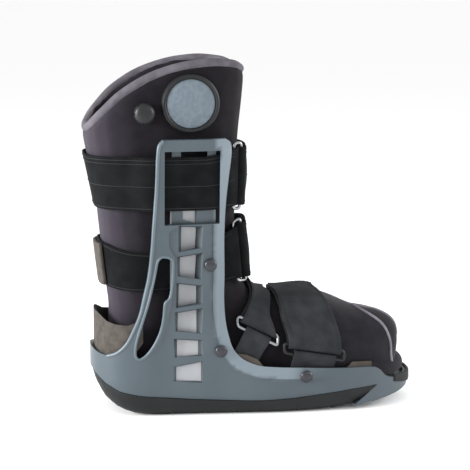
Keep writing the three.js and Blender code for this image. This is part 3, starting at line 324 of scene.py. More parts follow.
SHELL_TOP = (
    (-0.01, 0.245), (0.017, 0.226), (0.043, 0.222), (0.07, 0.236), (0.097, 0.269), (0.12, 0.324),
    (0.138, 0.379), (0.15, 0.44), (0.163, 0.51), (0.172, 0.6), (0.178, 0.7), (0.186, 0.84),
    (0.19, 0.955), (0.195, 0.985), (0.207, 1), (0.395, 1), (0.409, 0.988), (0.414, 0.962),
    (0.405, 0.86), (0.397, 0.77), (0.393, 0.66), (0.394, 0.52), (0.393, 0.42), (0.397, 0.35),
    (0.407, 0.29), (0.422, 0.24), (0.45, 0.204), (0.5, 0.178), (0.56, 0.17), (0.65, 0.165),
    (0.75, 0.159), (0.863, 0.151), (0.885, 0.136), (0.902, 0.114), (0.925, 0.103), (1.03, 0.103),
)
REAR_EDGE = slice(0, 15)
FRONT_EDGE = slice(15, 36)
REAR_BEAD = slice(2, 15)
PANEL_FRONT = slice(19, 31)
SLOT = (
    (0.194, 0.589), (0.237, 0.581), (0.237, 0.53), (0.23, 0.435), (0.212, 0.424), (0.21, 0.387),
    (0.206, 0.344), (0.197, 0.304), (0.18, 0.261), (0.158, 0.226), (0.137, 0.21), (0.126, 0.222),
    (0.126, 0.253), (0.131, 0.285), (0.15, 0.36), (0.167, 0.427), (0.183, 0.51),
)
WINDOWS = (
    (0.93, 0.719, 0.707, 0.93),
    (0.692, 0.605, 0.617, 0.688),
    (0.581, 0.518, 0.502, 0.593),
    (0.486, 0.403, 0.415, 0.474),
    (0.379, 0.316, 0.304, 0.391),
    (0.281, 0.217, 0.225, 0.273),
    (0.178, 0.13, 0.126, 0.194),
)
WINDOW_FRONT = 0.322
WINDOW_REAR = ((0.12, 0.242), (0.3, 0.246), (0.6, 0.256), (0.75, 0.262))
TOE_UNDERSIDE = (0.79, 0.83, 0.87, 0.91, 0.95, 0.975, 1.03)
PANEL_REAR = (
    (0.12, 0.17), (0.16, 0.205), (0.2, 0.27), (0.222, 0.36), (0.235, 0.43), (0.243, 0.5), (0.243, 0.585),
    (0.226, 0.62), (0.225, 0.675),
)
LINER_TOP = (
    (-0.05, 0.919), (-0.02, 1.031), (0.02, 1.285), (0.085, 1.585), (0.17, 1.825), (0.26, 1.954), (0.36, 2.0),
    (0.43, 1.968), (0.468, 1.871), (0.49, 1.7), (0.52, 1.539),
)
FLAP_SECTIONS = (
    (13.2, -24, 104), (13.8, -15, 108), (14.4, -2, 110), (15, 7, 112), (15.6, 13, 112),
    (16.1, 18, 112), (16.6, 24, 112), (17.1, 31, 112), (17.6, 40, 112),
)
TOE_PIPING = ((15, 12, 0), (15.6, 40, 0), (16.2, 62, 0), (16.7, 86, 0), (17.2, 110, 0))
RIVETS = {"ankle": (0.35, 0.553), "instep": (0.383, 0.237), "forefoot": (0.643, 0.136)}


@dataclass
class BootForm:
    """The boot's driving sizes, and the surfaces that its pieces lie on."""

    sole_length: float = 300.0
    boot_height: float = 323.0
    heel_width: float = 96.0
    forefoot_width: float = 113.0
    liner_width: float = 106.0
    upright_height: float = 253.0
    sole_thickness: float = 14.0
    rocker_rise: float = 34.0
    shell_wall: float = 3.2
    floor_thickness: float = 3.0
    column_depth: float = 8.4
    panel_thickness: float = 2.6
    upright_bow: float = 0.6
    rail_thickness: float = 2.9
    seat_gap: float = 0.3
    soft_gap: float = 0.5
    flap_thickness: float = 2.0
    flap_stand: float = 0.8
    lining_thickness: float = 2.0
    strap_thickness: float = 1.8
    stay_thickness: float = 1.2
    heel_run: float = 0.16
    ball_place: float = 0.64
    heel_roundness: float = 2.3
    toe_roundness: float = 2.4
    section_roundness: float = 3.0
    heel_blend: tuple = (0.05, 0.17)
    flare_levels: tuple = (0.153, 0.434)

    def __post_init__(self) -> None:
        """Lays the three lines that carry the liner's sections."""
        room = self.shell_wall + 2 * self.seat_gap + self.lining_thickness + self.strap_thickness
        room += self.flap_stand + self.flap_thickness + self.seat_gap
        rows = [
            (fx, self.height_at(fz), bx, self.height_at(bz), half * self.liner_width / 2)
            for fx, fz, bx, bz, half in LEG_SECTIONS
        ]
        rows += [
            (fx, self.height_at(fz), bx, self.height_at(bz), half * (self.heel_width / 2 - room))
            for fx, fz, bx, bz, half in HEEL_SECTIONS
        ]
        for fx, fz, bx, half in FOOT_SECTIONS:
            x = bx * self.sole_length
            width = half * (self.side_half(x) - room)
            rows.append((fx, self.height_at(fz), bx, self.floor_at(x) + self.seat_gap, width))
        self.last_section = len(rows) - 1
        self.front_line = CentripetalLine([(r[0] * self.sole_length, 0, r[1]) for r in rows])
        self.back_line = CentripetalLine([(r[2] * self.sole_length, 0, r[3]) for r in rows])
        self.width_line = CentripetalLine([(i, r[4], 0) for i, r in enumerate(rows)])

    def height_at(self, level: float) -> float:
        """The height of a level: 0 is the floor, 1 the uprights' top and 2 the liner's top.

        Args:
            level: the level.

        Returns:
            The height in millimetres.
        """
        if level <= 1:
            return level * self.upright_height
        return lerp(self.upright_height, self.boot_height, level - 1)

    @staticmethod
    def table_at(table: Sequence[Sequence[float]], column: int, x: float) -> float:
        """The value of a table's column at x, straight between its rows."""
        return float(np.interp(x, [r[0] for r in table], [r[column] for r in table]))

    def bottom_at(self, x: float) -> float:
        """The sole's underside at x."""
        return self.rocker_rise * self.table_at(TREAD, 1, x / self.sole_length)

    def rubber_top_at(self, x: float) -> float:
        """The rubber's upper edge at x."""
        return self.bottom_at(x) + self.sole_thickness * self.table_at(TREAD, 2, x / self.sole_length)

    def floor_at(self, x: float) -> float:
        """The shell's inner floor at x."""
        return self.rubber_top_at(x) + self.seat_gap + self.floor_thickness

    def wall_top_at(self, x: float) -> float:
        """The top of the shell's side wall at x, ahead of the uprights."""
        return self.upright_height * self.table_at(SHELL_TOP[26:], 1, x / self.sole_length)

    def side_half(self, x: float) -> float:
        """Half the plan's width at x along the sides."""
        widening = smoothstep(x, self.heel_run * self.sole_length, self.ball_place * self.sole_length)
        return lerp(self.heel_width, self.forefoot_width, widening) / 2

    def half_plan(self, inset: float, toe_steps: int = 26) -> list[tuple[float, float]]:
        """Half of the plan's outline, from the heel's back to the toe.

        Args:
            inset: how far it is moved inwards.
            toe_steps: points round the toe.

        Returns:
            Points as x and the distance from the middle.
        """
        heel_end, ball = self.heel_run * self.sole_length, self.ball_place * self.sole_length
        heel, toe = [], []
        for i in range(HEEL_STEPS):
            a = i / HEEL_STEPS * math.pi / 2
            reach = (heel_end - inset) * math.cos(a) ** (2 / self.heel_roundness)
            out = (self.heel_width / 2 - inset) * math.sin(a) ** (2 / self.heel_roundness)
            heel.append((heel_end - reach, out))
        for i in range(toe_steps):
            a = i / toe_steps * math.pi / 2
            reach = (self.sole_length - inset - ball) * math.cos(a) ** (2 / self.toe_roundness)
            out = (self.forefoot_width / 2 - inset) * math.sin(a) ** (2 / self.toe_roundness)
            toe.append((ball + reach, out))
        places = [lerp(heel_end, ball, i / SIDE_STEPS) for i in range(SIDE_STEPS + 1)]
        return heel + [(x, self.side_half(x) - inset) for x in places] + toe[::-1]

    def toe_plan(self, inset: float, start: float) -> list[tuple[float, float]]:
        """The plan's outline round the toe, from the inner side past the tip to the outer side.

        Args:
            inset: how far it is moved inwards.
            start: where it begins, as a share of the sole's length.

        Returns:
            Points as x and y.
        """
        half = [p for p in self.half_plan(inset, 60) if p[0] > start * self.sole_length]
        half.append((self.sole_length - inset, 0.0))
        return half + [(x, -y) for x, y in half[-2::-1]]

    def section_at(self, u: float) -> tuple[Vector, Vector, float, float]:
        """The liner's section at u.

        Args:
            u: a count of sections from the top.

        Returns:
            Its centre, the direction to the front, half its length and half its width.
        """
        front, back = self.front_line.at(u), self.back_line.at(u)
        reach = (front - back).length / 2
        return (front + back) / 2, (front - back) / (2 * reach), reach, self.width_line.at(u).y

    def round_power(self, value: float) -> float:
        """A sine or cosine drawn out to the sections' squarish round."""
        return math.copysign(abs(value) ** (2 / self.section_roundness), value)

    def on_liner(self, u: float, angle: float, offset: float = 0.0) -> Vector:
        """A point on the liner or at some distance from it.

        Args:
            u: the section.
            angle: degrees, with 0 at the front or top and 90 at the outer side.
            offset: how far it stands out.

        Returns:
            The point.
        """
        centre, along, reach, half = self.section_at(u)
        turn = math.radians(angle)
        point = centre + along * (reach + offset) * self.round_power(math.cos(turn))
        point.y = -(half + offset) * self.round_power(math.sin(turn))
        return point

    @lru_cache(maxsize=4096)
    def leg_section_for(self, z: float) -> float:
        """The section whose middle is at height z, in the leg.

        Args:
            z: the height.

        Returns:
            A count of sections.
        """
        low, high = 0.0, float(len(LEG_SECTIONS) - 1)
        for _ in range(26):
            middle = (low + high) / 2
            if self.section_at(middle)[0].z > z:
                low = middle
            else:
                high = middle
        return (low + high) / 2

    @lru_cache(maxsize=4096)
    def leg_at(self, z: float) -> tuple[float, float, float]:
        """The leg's section at height z.

        Args:
            z: the height.

        Returns:
            Its middle's x, half its length and half its width.
        """
        ankle = self.section_at(len(LEG_SECTIONS) - 1)[0].z
        centre, _, reach, half = self.section_at(self.leg_section_for(round(max(z, ankle), 3)))
        return centre.x, reach, half

    def upright_face(self, x: float, z: float) -> float:
        """How far out an upright's face lies at x and z.

        Args:
            x: the place along the sole.
            z: the height.

        Returns:
            The distance from the boot's middle.
        """
        middle, reach, half = self.leg_at(round(z, 2))
        place = clamp((x - middle) / reach, -0.96, 0.96)
        power = self.section_roundness
        drop = half * (1 - (1 - abs(place) ** power) ** (1 / power))
        under = 2 * self.soft_gap + self.strap_thickness + self.stay_thickness + self.seat_gap
        return half - self.upright_bow * drop + under + self.column_depth

    def flared_at(self, x: float, z: float, plan_half: float, inset: float = 0.0, near: float = 1.0) -> float:
        """The shell's outer side at x and z, which flares from the foot to the upright's face.

        Args:
            x: the place along the sole.
            z: the height.
            plan_half: half the foot's width there.
            inset: how far the upright's face is moved in.
            near: how much of the flare counts there.

        Returns:
            The distance from the boot's middle.
        """
        face = max(self.upright_face(x, z) - inset, plan_half)
        return lerp(plan_half, face, near * self.flare_at(z))

    def flare_at(self, z: float) -> float:
        """How far the sides have turned from the foot's plan to the upright's face at height z."""
        low, high = self.flare_levels
        return smoothstep(z, low * self.upright_height, high * self.upright_height)

    def clear_of_heel(self, x: float) -> float:
        """A smooth 0 to 1 past the heel's round back."""
        first, last = self.heel_blend
        return smoothstep(x, first * self.sole_length, last * self.sole_length)

    def side_y(self, x: float, z: float) -> float:
        """The shell's outer side at x and z, from the heel's back to the ball of the foot.

        Args:
            x: the place along the sole.
            z: the height.

        Returns:
            The distance from the boot's middle.
        """
        heel_end = self.heel_run * self.sole_length
        half = self.side_half(x)
        if x < heel_end:
            share = clamp((heel_end - x) / heel_end, 0.0, 1.0)
            half *= (1 - share**self.heel_roundness) ** (1 / self.heel_roundness)
        return self.flared_at(x, z, half, 0.0, self.clear_of_heel(x))

    def __hash__(self) -> int:
        """The form is one of a kind, so its place in memory stands for it."""
        return id(self)


FORM = BootForm()
LENGTH = FORM.sole_length
HEIGHT = FORM.upright_height


# Making meshes by the usual tools


def deselect() -> None:
    """Leaves nothing selected, in object mode."""
    if bpy.context.object and bpy.context.object.mode != "OBJECT":
        bpy.ops.object.mode_set(mode="OBJECT")
    bpy.ops.object.select_all(action="DESELECT")


def activate(piece: Piece) -> None:
    """Makes one piece the selected and active one.

    Args:
        piece: the piece.
    """
    deselect()
    piece.hide_set(False)
    piece.select_set(True)
    bpy.context.view_layer.objects.active = piece


def in_edit(piece: Piece, work: Callable[[], object]) -> None:
    """Does some work on a piece in edit mode.

    Args:
        piece: the piece to open.
        work: the operators to run, on all of it.
    """
    activate(piece)
    bpy.ops.object.mode_set(mode="EDIT")
    bpy.ops.mesh.select_all(action="SELECT")
    work()
    bpy.ops.object.mode_set(mode="OBJECT")


def apply_modifier(piece: Piece, kind: str, **settings: object) -> None:
    """Adds a modifier with its settings and applies it.

    Args:
        piece: the piece.
        kind: the modifier's type.
        settings: its values.
    """
    activate(piece)
    modifier = piece.modifiers.new(kind.lower(), kind)
    for key, value in settings.items():
        setattr(modifier, key, value)
    bpy.ops.object.modifier_apply(modifier=modifier.name)


def smooth(piece: Piece, degrees: float = 35.0) -> None:
    """Shades a piece smooth, with its sharp edges kept."""
    activate(piece)
    bpy.ops.object.shade_smooth_by_angle(angle=math.radians(degrees))


def travelled(line: np.ndarray) -> np.ndarray:
    """The length of a line of points up to each one."""
    return np.concatenate([[0], np.cumsum(np.linalg.norm(np.diff(line, axis=0), axis=1))])


def grid_piece(
    name: str, points: np.ndarray, closed_rows: bool = False, closed_columns: bool = False
) -> Piece:
    """A grid primitive whose points are put in their places.

    Args:
        name: the new object's name.
        points: rows by columns by 3, in the boot's millimetres.
        closed_rows: whether the last row meets the first.
        closed_columns: whether the last column meets the first.

    Returns:
        The object, with a map of its rows and columns in metres along their lengths.
    """
    if closed_rows:
        points = np.concatenate([points, points[:1]], axis=0)
    if closed_columns:
        points = np.concatenate([points, points[:, :1]], axis=1)
    rows, columns = points.shape[:2]
    deselect()
    bpy.ops.mesh.primitive_grid_add(x_subdivisions=columns - 1, y_subdivisions=rows - 1, size=2)
    piece = bpy.context.object
    piece.name = piece.data.name = name
    mesh = piece.data
    flat = np.empty(len(mesh.vertices) * 3)
    mesh.vertices.foreach_get("co", flat)
    flat = flat.reshape(-1, 3)
    column = np.rint((flat[:, 0] + 1) / 2 * (columns - 1)).astype(int)
    row = np.rint((flat[:, 1] + 1) / 2 * (rows - 1)).astype(int)
    placed = (points[row, column] + np.array(FRAME_SHIFT)) * METRE
    mesh.vertices.foreach_set("co", placed.ravel())
    along = travelled(points.mean(axis=1)) * METRE
    across = travelled(points[rows // 2]) * METRE
    layer = mesh.uv_layers.active.data
    loops = np.empty(len(mesh.loops), int)
    mesh.loops.foreach_get("vertex_index", loops)
    spread = np.stack([along[row[loops]], across[column[loops]]], axis=1)
    layer.foreach_set("uv", spread.ravel())
    mesh.update()
    if closed_rows or closed_columns:
        in_edit(piece, lambda: bpy.ops.mesh.remove_doubles(threshold=1e-6))
    return piece


def cap_holes(piece: Piece) -> None:
    """Closes the open ends of a piece.

    Args:
        piece: the piece.
    """

    def work() -> None:
        """Fills the ends and turns the faces outwards."""
        bpy.ops.mesh.fill_holes(sides=0)
        bpy.ops.mesh.normals_make_consistent(inside=False)

    in_edit(piece, work)


def prism(name: str, outline: Sequence[tuple[float, float]]) -> Piece:
    """A side-view outline drawn out right across the boot, as a cutter.

    Args:
        name: the new object's name.
        outline: its corners as x and height.

    Returns:
        The closed cutter.
    """
    deselect()
    bpy.ops.mesh.primitive_circle_add(vertices=len(outline), radius=1, fill_type="NGON")
    piece = bpy.context.object
    piece.name = name
    for vertex, (x, z) in zip(piece.data.vertices, outline):
        vertex.co = (Vector((x, -CUTTER_REACH, z)) + FRAME_SHIFT) * METRE

    def work() -> None:
        """Draws the outline out and turns the faces outwards."""
        shift = 2 * CUTTER_REACH * METRE
        bpy.ops.mesh.extrude_region_move(TRANSFORM_OT_translate={"value": (0, shift, 0)})
        bpy.ops.mesh.select_all(action="SELECT")
        bpy.ops.mesh.normals_make_consistent(inside=False)

    in_edit(piece, work)
    return piece


def joined(name: str, pieces: Sequence[Piece]) -> Piece:
    """Several pieces as one object.

    Args:
        name: the joined object's name.
        pieces: two or more objects.

    Returns:
        The joined object.
    """
    deselect()
    for piece in pieces:
        piece.select_set(True)
    bpy.context.view_layer.objects.active = pieces[0]
    bpy.ops.object.join()
    pieces[0].name = pieces[0].data.name = name
    return pieces[0]


def ease(piece: Piece, width: float, degrees: float = 60.0, segments: int = 2) -> None:
    """Rounds the edges of a piece that turn by more than some degrees.

    Args:
        piece: the piece.
        width: the rounding's width in metres.
        degrees: the least turn that is rounded.
        segments: faces across the rounding.
    """
    limit = math.radians(degrees)
    apply_modifier(piece, "BEVEL", width=width, segments=segments, limit_method="ANGLE", angle_limit=limit)


def thicken(piece: Piece, thickness: float) -> None:
    """Gives a sheet its thickness, half to each side."""
    apply_modifier(piece, "SOLIDIFY", thickness=thickness * METRE, offset=0, use_even_offset=True)


def cut(piece: Piece, cutter: Piece, operation: str = "DIFFERENCE") -> None:
    """Cuts, joins or crosses a piece with another, which is used up."""
    apply_modifier(piece, "BOOLEAN", object=cutter, operation=operation, solver="MANIFOLD")
    bpy.data.objects.remove(cutter)


def node_copy(frame: dict, node: str, name: str) -> Piece:
    """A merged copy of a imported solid, as the start of a finer piece.

    Args:
        frame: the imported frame.
        node: the solid's name.
        name: the copy's name.

    Returns:
        The copy.
    """
    source = frame["nodes"][node]
    piece = bpy.data.objects.new(name, source.data.copy())
    piece.data.name = name
    bpy.context.scene.collection.objects.link(piece)
    piece.data.materials.clear()
    in_edit(piece, lambda: bpy.ops.mesh.remove_doubles(threshold=1e-5))
    return piece


def tube(name: str, path: Sequence[Vector], radius: float, sides: int = 10, closed: bool = False) -> Piece:
    """A round bar along a path.

    Args:
        name: the new object's name.
        path: points of its middle line.
        radius: its radius.
        sides: faces round it.
        closed: whether the path comes back to its start.

    Returns:
        The bar, closed at its ends.
    """
    count = len(path)
    rows = []
    normal = Vector((0.13, 1.0, 0.07)).normalized()
    for i, point in enumerate(path):
        before = path[i - 1] if closed or i else point
        after = path[(i + 1) % count] if closed or i + 1 < count else point
        along = (after - before).normalized()
        normal = (normal - along * normal.dot(along)).normalized()
        other = along.cross(normal)
        turns = [2 * math.pi * j / sides for j in range(sides)]
        rows.append([point + (normal * math.cos(t) + other * math.sin(t)) * radius for t in turns])
    piece = grid_piece(name, np.array([[list(p) for p in row] for row in rows]), closed, True)
    if not closed:
        cap_holes(piece)
    in_edit(piece, lambda: bpy.ops.mesh.normals_make_consistent(inside=False))
    smooth(piece, 50)
    return piece


def turned(
    name: str, profile: Sequence[tuple[float, float]], origin: Vector, axis: Vector, segments: int = 48
) -> Piece:
    """A turned piece about an axis.

    Args:
        name: the new object's name.
        profile: radius and height of each point, from the foot up.
        origin: the axis's foot.
        axis: its direction.
        segments: faces round it.

    Returns:
        The turned piece, with its poles closed.
    """
    turn = Vector((0, 0, 1)).rotation_difference(axis)
    rows = []
    for radius, height in profile:
        ring = []
        for j in range(segments):
            a = 2 * math.pi * j / segments
            ring.append(list(origin + turn @ Vector((radius * math.cos(a), radius * math.sin(a), height))))
        rows.append(ring)
    piece = grid_piece(name, np.array(rows), False, True)

    def work() -> None:
        """Closes the poles and turns the faces outwards."""
        bpy.ops.mesh.remove_doubles(threshold=1e-6)
        bpy.ops.mesh.normals_make_consistent(inside=False)

    in_edit(piece, work)
    smooth(piece, 30)
    return piece


def paint_points(piece: Piece, name: str, values: Iterable[float]) -> None:
    """Gives each point of a piece a value that its material reads."""
    attribute = piece.data.attributes.new(name, "FLOAT", "POINT")
    attribute.data.foreach_set("value", np.fromiter(values, float))


# Effects that several finishes share


class Effects:
    """Node groups that are built once and placed in the materials."""

    @staticmethod
    def _new(name: str, inputs: dict[str, float], outputs: Sequence[str]) -> bpy.types.NodeTree:
        """An empty group with float inputs, a Vector input and float outputs.

        Args:
            name: the group's name.
            inputs: the float inputs and their values.
            outputs: the float outputs.

        Returns:
            The group.
        """
        tree = bpy.data.node_groups.new(name, "ShaderNodeTree")
        tree.interface.new_socket(name="Vector", in_out="INPUT", socket_type="NodeSocketVector")
        for key, value in inputs.items():
            socket = tree.interface.new_socket(name=key, in_out="INPUT", socket_type="NodeSocketFloat")
            socket.default_value = value
        for key in outputs:
            tree.interface.new_socket(name=key, in_out="OUTPUT", socket_type="NodeSocketFloat")
        return tree

    @classmethod
    @lru_cache(maxsize=None)
    def weave(cls) -> bpy.types.NodeTree:
        """Threads over and under each other, with Height and a slow Tone.

        Returns:
            The group. Vector is the cloth's map in metres, and Pitch the threads' spacing.
        """
        tree = cls._new("thread_weave", {"Pitch": 0.001, "Mottle": 60.0}, ("Height", "Tone"))
        nodes, links = tree.nodes, tree.links
        source, sink = nodes.new("NodeGroupInput"), nodes.new("NodeGroupOutput")
        split = nodes.new("ShaderNodeSeparateXYZ")
        links.new(source.outputs["Vector"], split.inputs[0])

        def maths(kind: str, a: object, b: object = None) -> Socket:
            """One sum of one or two sockets or numbers.

            Args:
                kind: the sum's name.
                a: the first socket or number.
                b: the second one, where there is one.

            Returns:
                The result's socket.
            """
            node = nodes.new("ShaderNodeMath")
            node.operation = kind
            for socket, value in zip(node.inputs, (a, b)):
                if isinstance(value, Socket):
                    links.new(value, socket)
                elif value is not None:
                    socket.default_value = value
            return node.outputs[0]

        waves = []
        for axis in (0, 1):
            phase = maths("DIVIDE", split.outputs[axis], source.outputs["Pitch"])
            waves.append(maths("SINE", maths("MULTIPLY", phase, math.pi)))
        height = maths("ADD", maths("MULTIPLY", maths("MULTIPLY", waves[0], waves[1]), 0.5), 0.5)
        noise = nodes.new("ShaderNodeTexNoise")
        noise.inputs["Detail"].default_value = 3
        links.new(source.outputs["Vector"], noise.inputs["Vector"])
        links.new(source.outputs["Mottle"], noise.inputs["Scale"])
        links.new(height, sink.inputs["Height"])
        links.new(noise.outputs[0], sink.inputs["Tone"])
        return tree

    @classmethod
    @lru_cache(maxsize=None)
    def grain(cls) -> bpy.types.NodeTree:
        """Fine noise over slow noise, with Height and Tone.

        Returns:
            The group. Fine and Slow are how many grains go to a metre.
        """
        tree = cls._new("surface_grain", {"Fine": 1500.0, "Slow": 40.0, "Rough": 0.6}, ("Height", "Tone"))
        nodes, links = tree.nodes, tree.links
        source, sink = nodes.new("NodeGroupInput"), nodes.new("NodeGroupOutput")
        for key, socket in (("Fine", "Height"), ("Slow", "Tone")):
            noise = nodes.new("ShaderNodeTexNoise")
            noise.inputs["Detail"].default_value = 4
            links.new(source.outputs["Rough"], noise.inputs["Roughness"])
            links.new(source.outputs["Vector"], noise.inputs["Vector"])
            links.new(source.outputs[key], noise.inputs["Scale"])
            links.new(noise.outputs[0], sink.inputs[socket])
        return tree


@dataclass(frozen=True)
class Finish:
    """A moulded or rubbed surface with grain, slow tone and gloss."""

    name: str
    colour: str
    second: str
    roughness: float = 0.5
    rough_spread: float = 0.12
    metallic: float = 0.0
    fine: float = 1600.0
    slow: float = 25.0
    bump: float = 0.15
    bump_depth: float = 0.0002
    sheen: float = 0.0
    specular: float = 0.5
    masks: tuple = ()

    def material(self) -> bpy.types.Material:
        """Builds the finish once.

        Returns:
            The material.
        """
        found = bpy.data.materials.get(self.name)
        if found:
            return found
        material = bpy.data.materials.new(self.name)
        material.use_nodes = True
        nodes, links = material.node_tree.nodes, material.node_tree.links
        shader = nodes["Principled BSDF"]
        shader.inputs["Metallic"].default_value = self.metallic
        shader.inputs["Sheen Weight"].default_value = self.sheen
        shader.inputs["Sheen Roughness"].default_value = 0.5
        shader.inputs["Specular IOR Level"].default_value = self.specular
        height, tone = self.pattern(material)
        mix = nodes.new("ShaderNodeMix")
        mix.data_type = "RGBA"
        mix.inputs[6].default_value = linear(self.colour)
        mix.inputs[7].default_value = linear(self.second)
        ramp = nodes.new("ShaderNodeMapRange")
        ramp.inputs["From Min"].default_value = 0.35
        ramp.inputs["From Max"].default_value = 0.65
        links.new(tone, ramp.inputs["Value"])
        links.new(ramp.outputs[0], mix.inputs[0])
        colour = mix.outputs[2]
        for name, hexed in self.masks:
            colour = self.masked(material, colour, name, hexed)
        links.new(colour, shader.inputs["Base Color"])
        rough = nodes.new("ShaderNodeMapRange")
        rough.inputs["To Min"].default_value = self.roughness - self.rough_spread
        rough.inputs["To Max"].default_value = self.roughness + self.rough_spread
        links.new(height, rough.inputs["Value"])
        links.new(rough.outputs[0], shader.inputs["Roughness"])
        bump = nodes.new("ShaderNodeBump")
        bump.inputs["Strength"].default_value = self.bump
        bump.inputs["Distance"].default_value = self.bump_depth
        links.new(height, bump.inputs["Height"])
        links.new(bump.outputs[0], shader.inputs["Normal"])
        return material

    def pattern(self, material: bpy.types.Material) -> tuple[Socket, Socket]:
        """The finish's height and tone, here from the grain on the piece's own place.

        Args:
            material: the material that gets the nodes.

        Returns:
            The sockets of the height and the tone.
        """
        nodes, links = material.node_tree.nodes, material.node_tree.links
        place = nodes.new("ShaderNodeTexCoord")
        group = nodes.new("ShaderNodeGroup")
        group.node_tree = Effects.grain()
        group.inputs["Fine"].default_value = self.fine
        group.inputs["Slow"].default_value = self.slow
        links.new(place.outputs["Object"], group.inputs["Vector"])
        return group.outputs["Height"], group.outputs["Tone"]

    @staticmethod
    def masked(
        material: bpy.types.Material, colour: Socket, name: str, hexed: str
    ) -> Socket:
        """The colour with a second one where the piece's points are marked.

        Args:
            material: the material that gets the nodes.
            colour: the first colour's socket.
            name: the attribute with the marks.
            hexed: the second colour.

        Returns:
            The mixed colour's socket.
        """
        nodes, links = material.node_tree.nodes, material.node_tree.links
        marks = nodes.new("ShaderNodeAttribute")
        marks.attribute_name = name
        mix = nodes.new("ShaderNodeMix")
        mix.data_type = "RGBA"
        links.new(marks.outputs["Fac"], mix.inputs[0])
        links.new(colour, mix.inputs[6])
        mix.inputs[7].default_value = linear(hexed)
        return mix.outputs[2]


@dataclass(frozen=True)
class ClothFinish(Finish):
    """Woven cloth, whose threads follow the piece's map."""

    pitch: float = 0.0011
    mottle: float = 60.0

    def pattern(self, material: bpy.types.Material) -> tuple[Socket, Socket]:
        """Height and tone from the weave on the piece's map.

        Args:
            material: the material that gets the nodes.

        Returns:
            The sockets of the height and the tone.
        """
        nodes, links = material.node_tree.nodes, material.node_tree.links
        place = nodes.new("ShaderNodeTexCoord")
        group = nodes.new("ShaderNodeGroup")
        group.node_tree = Effects.weave()
        group.inputs["Pitch"].default_value = self.pitch
        group.inputs["Mottle"].default_value = self.mottle
        links.new(place.outputs["UV"], group.inputs["Vector"])
        return group.outputs["Height"], group.outputs["Tone"]


# Painted light and shade: the rim mask paints a highlight on the front rim, and the pocket mask paints shade deep in
# the window pockets.
SHELL_PLASTIC = Finish(
    "shell_plastic", Colour.SHELL.value, "#38434a", 0.4, bump=0.12, slow=18,
    masks=(("rim", Colour.SHELL_RIM.value), ("pocket", "#262d31")),
)
# Painted highlight: the shell's plastic, made lighter for the raised rims that catch the light.
LIT_RIM_PLASTIC = Finish("rim_plastic", "#525f67", "#48545b", 0.36, bump=0.1)
STAY_PLASTIC = Finish("stay_plastic", Colour.STAY.value, "#8b8d91", 0.5, bump=0.1)
SOLE_RUBBER = Finish("sole_rubber", Colour.RUBBER.value, "#191b1c", 0.62, fine=2400, bump=0.3, specular=0.25)
LINER_FLEECE = Finish(
    "liner_fleece", Colour.LINER.value, "#19171b", 0.95, 0.05, specular=0.1, fine=1500, slow=85,
    bump=0.5, bump_depth=0.0004, sheen=0.06, masks=(("blush", Colour.LINER_SHEEN.value),),
)
# Painted highlight: a lighter copy of the fleece for the rounded foam rim that catches the light.
LIT_FOAM_EDGE = Finish(
    "foam_edge", Colour.LINER_RIM.value, "#4b484e", 0.9, 0.06, fine=1500, slow=60,
    bump=0.4, bump_depth=0.0003, specular=0.15,
)
FLAP_FLEECE = Finish(
    "flap_fleece", "#17161a", "#1f1e23", 0.93, 0.05, specular=0.1, fine=1500, slow=85,
    bump=0.4, bump_depth=0.0003, sheen=0.1, masks=(("edge", "#4c4a50"),),
)
EDGE_BINDING = Finish(
    "edge_binding", "#77747c", "#5f5c64", 0.85, 0.06, fine=1500, slow=80, bump=0.4, sheen=0.1,
)
BAND_FELT = Finish(
    "heel_band_felt", Colour.BAND.value, "#3d3935", 0.85, 0.08, fine=900, slow=140,
    bump=0.4, bump_depth=0.0003, specular=0.2, masks=(("edge", "#2b2827"),),
)
LINING_FELT = Finish(
    "wall_lining_felt", Colour.LINING.value, "#4d4843", 0.9, 0.06, fine=900, slow=60,
    bump=0.4, bump_depth=0.0003, specular=0.15,
)
STRAP_CLOTH = ClothFinish(
    "strap_cloth", Colour.BLACK_STRAP.value, "#121315", 0.92, 0.05, bump=0.6, bump_depth=0.0003,
    specular=0.12, pitch=0.0013,
)
WEBBING_CLOTH = ClothFinish(
    "webbing_cloth", Colour.WEBBING.value, "#212225", 0.88, 0.05, bump=0.7, bump_depth=0.0003, specular=0.15,
    pitch=0.0011,
)
THREAD = Finish("sewing_thread", "#242528", "#1a1b1d", 0.8, specular=0.2)
STEEL_WIRE = Finish("steel_wire", Colour.STEEL.value, "#8b8d8f", 0.3, 0.1, 1.0, fine=3000, bump=0.05)
DARK_PLASTIC = Finish("collar_plastic", Colour.DARK.value, "#191b1d", 0.45, bump=0.1, specular=0.3)
KNOB_PLASTIC = Finish("knob_plastic", Colour.KNOB.value, "#141517", 0.42, bump=0.15, specular=0.3)
BULB_SKIN = Finish(
    "bulb_skin", Colour.BULB.value, "#545f68", 0.72, 0.1, fine=700, slow=260, bump=0.5, bump_depth=0.0003,
)
RIVET_METAL = Finish("rivet_metal", Colour.RIVET.value, "#333338", 0.32, 0.08, 0.6, fine=1500, bump=0.1)


@dataclass
class SubAssembly:
    """A part of the boot that builds its own pieces and puts them on the frame."""

    frame: dict
    body: str = BOOT

    def place(self, piece: Piece, finish: Finish, slot: str, replaces: Sequence[str] = ()) -> None:
        """Dresses a piece, says what it stands for and lets it ride.

        Args:
            piece: the finished object.
            finish: what it is made of.
            slot: the record's material slot.
            replaces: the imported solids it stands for.
        """
        piece.data.materials.clear()
        piece.data.materials.append(finish.material())
        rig.ride(piece, self.body)
        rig.slot(piece, slot)
        if replaces:
            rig.replaces(piece, *replaces)
        LOG.info("%s: %d faces", piece.name, len(piece.data.polygons))


# The moulded shell


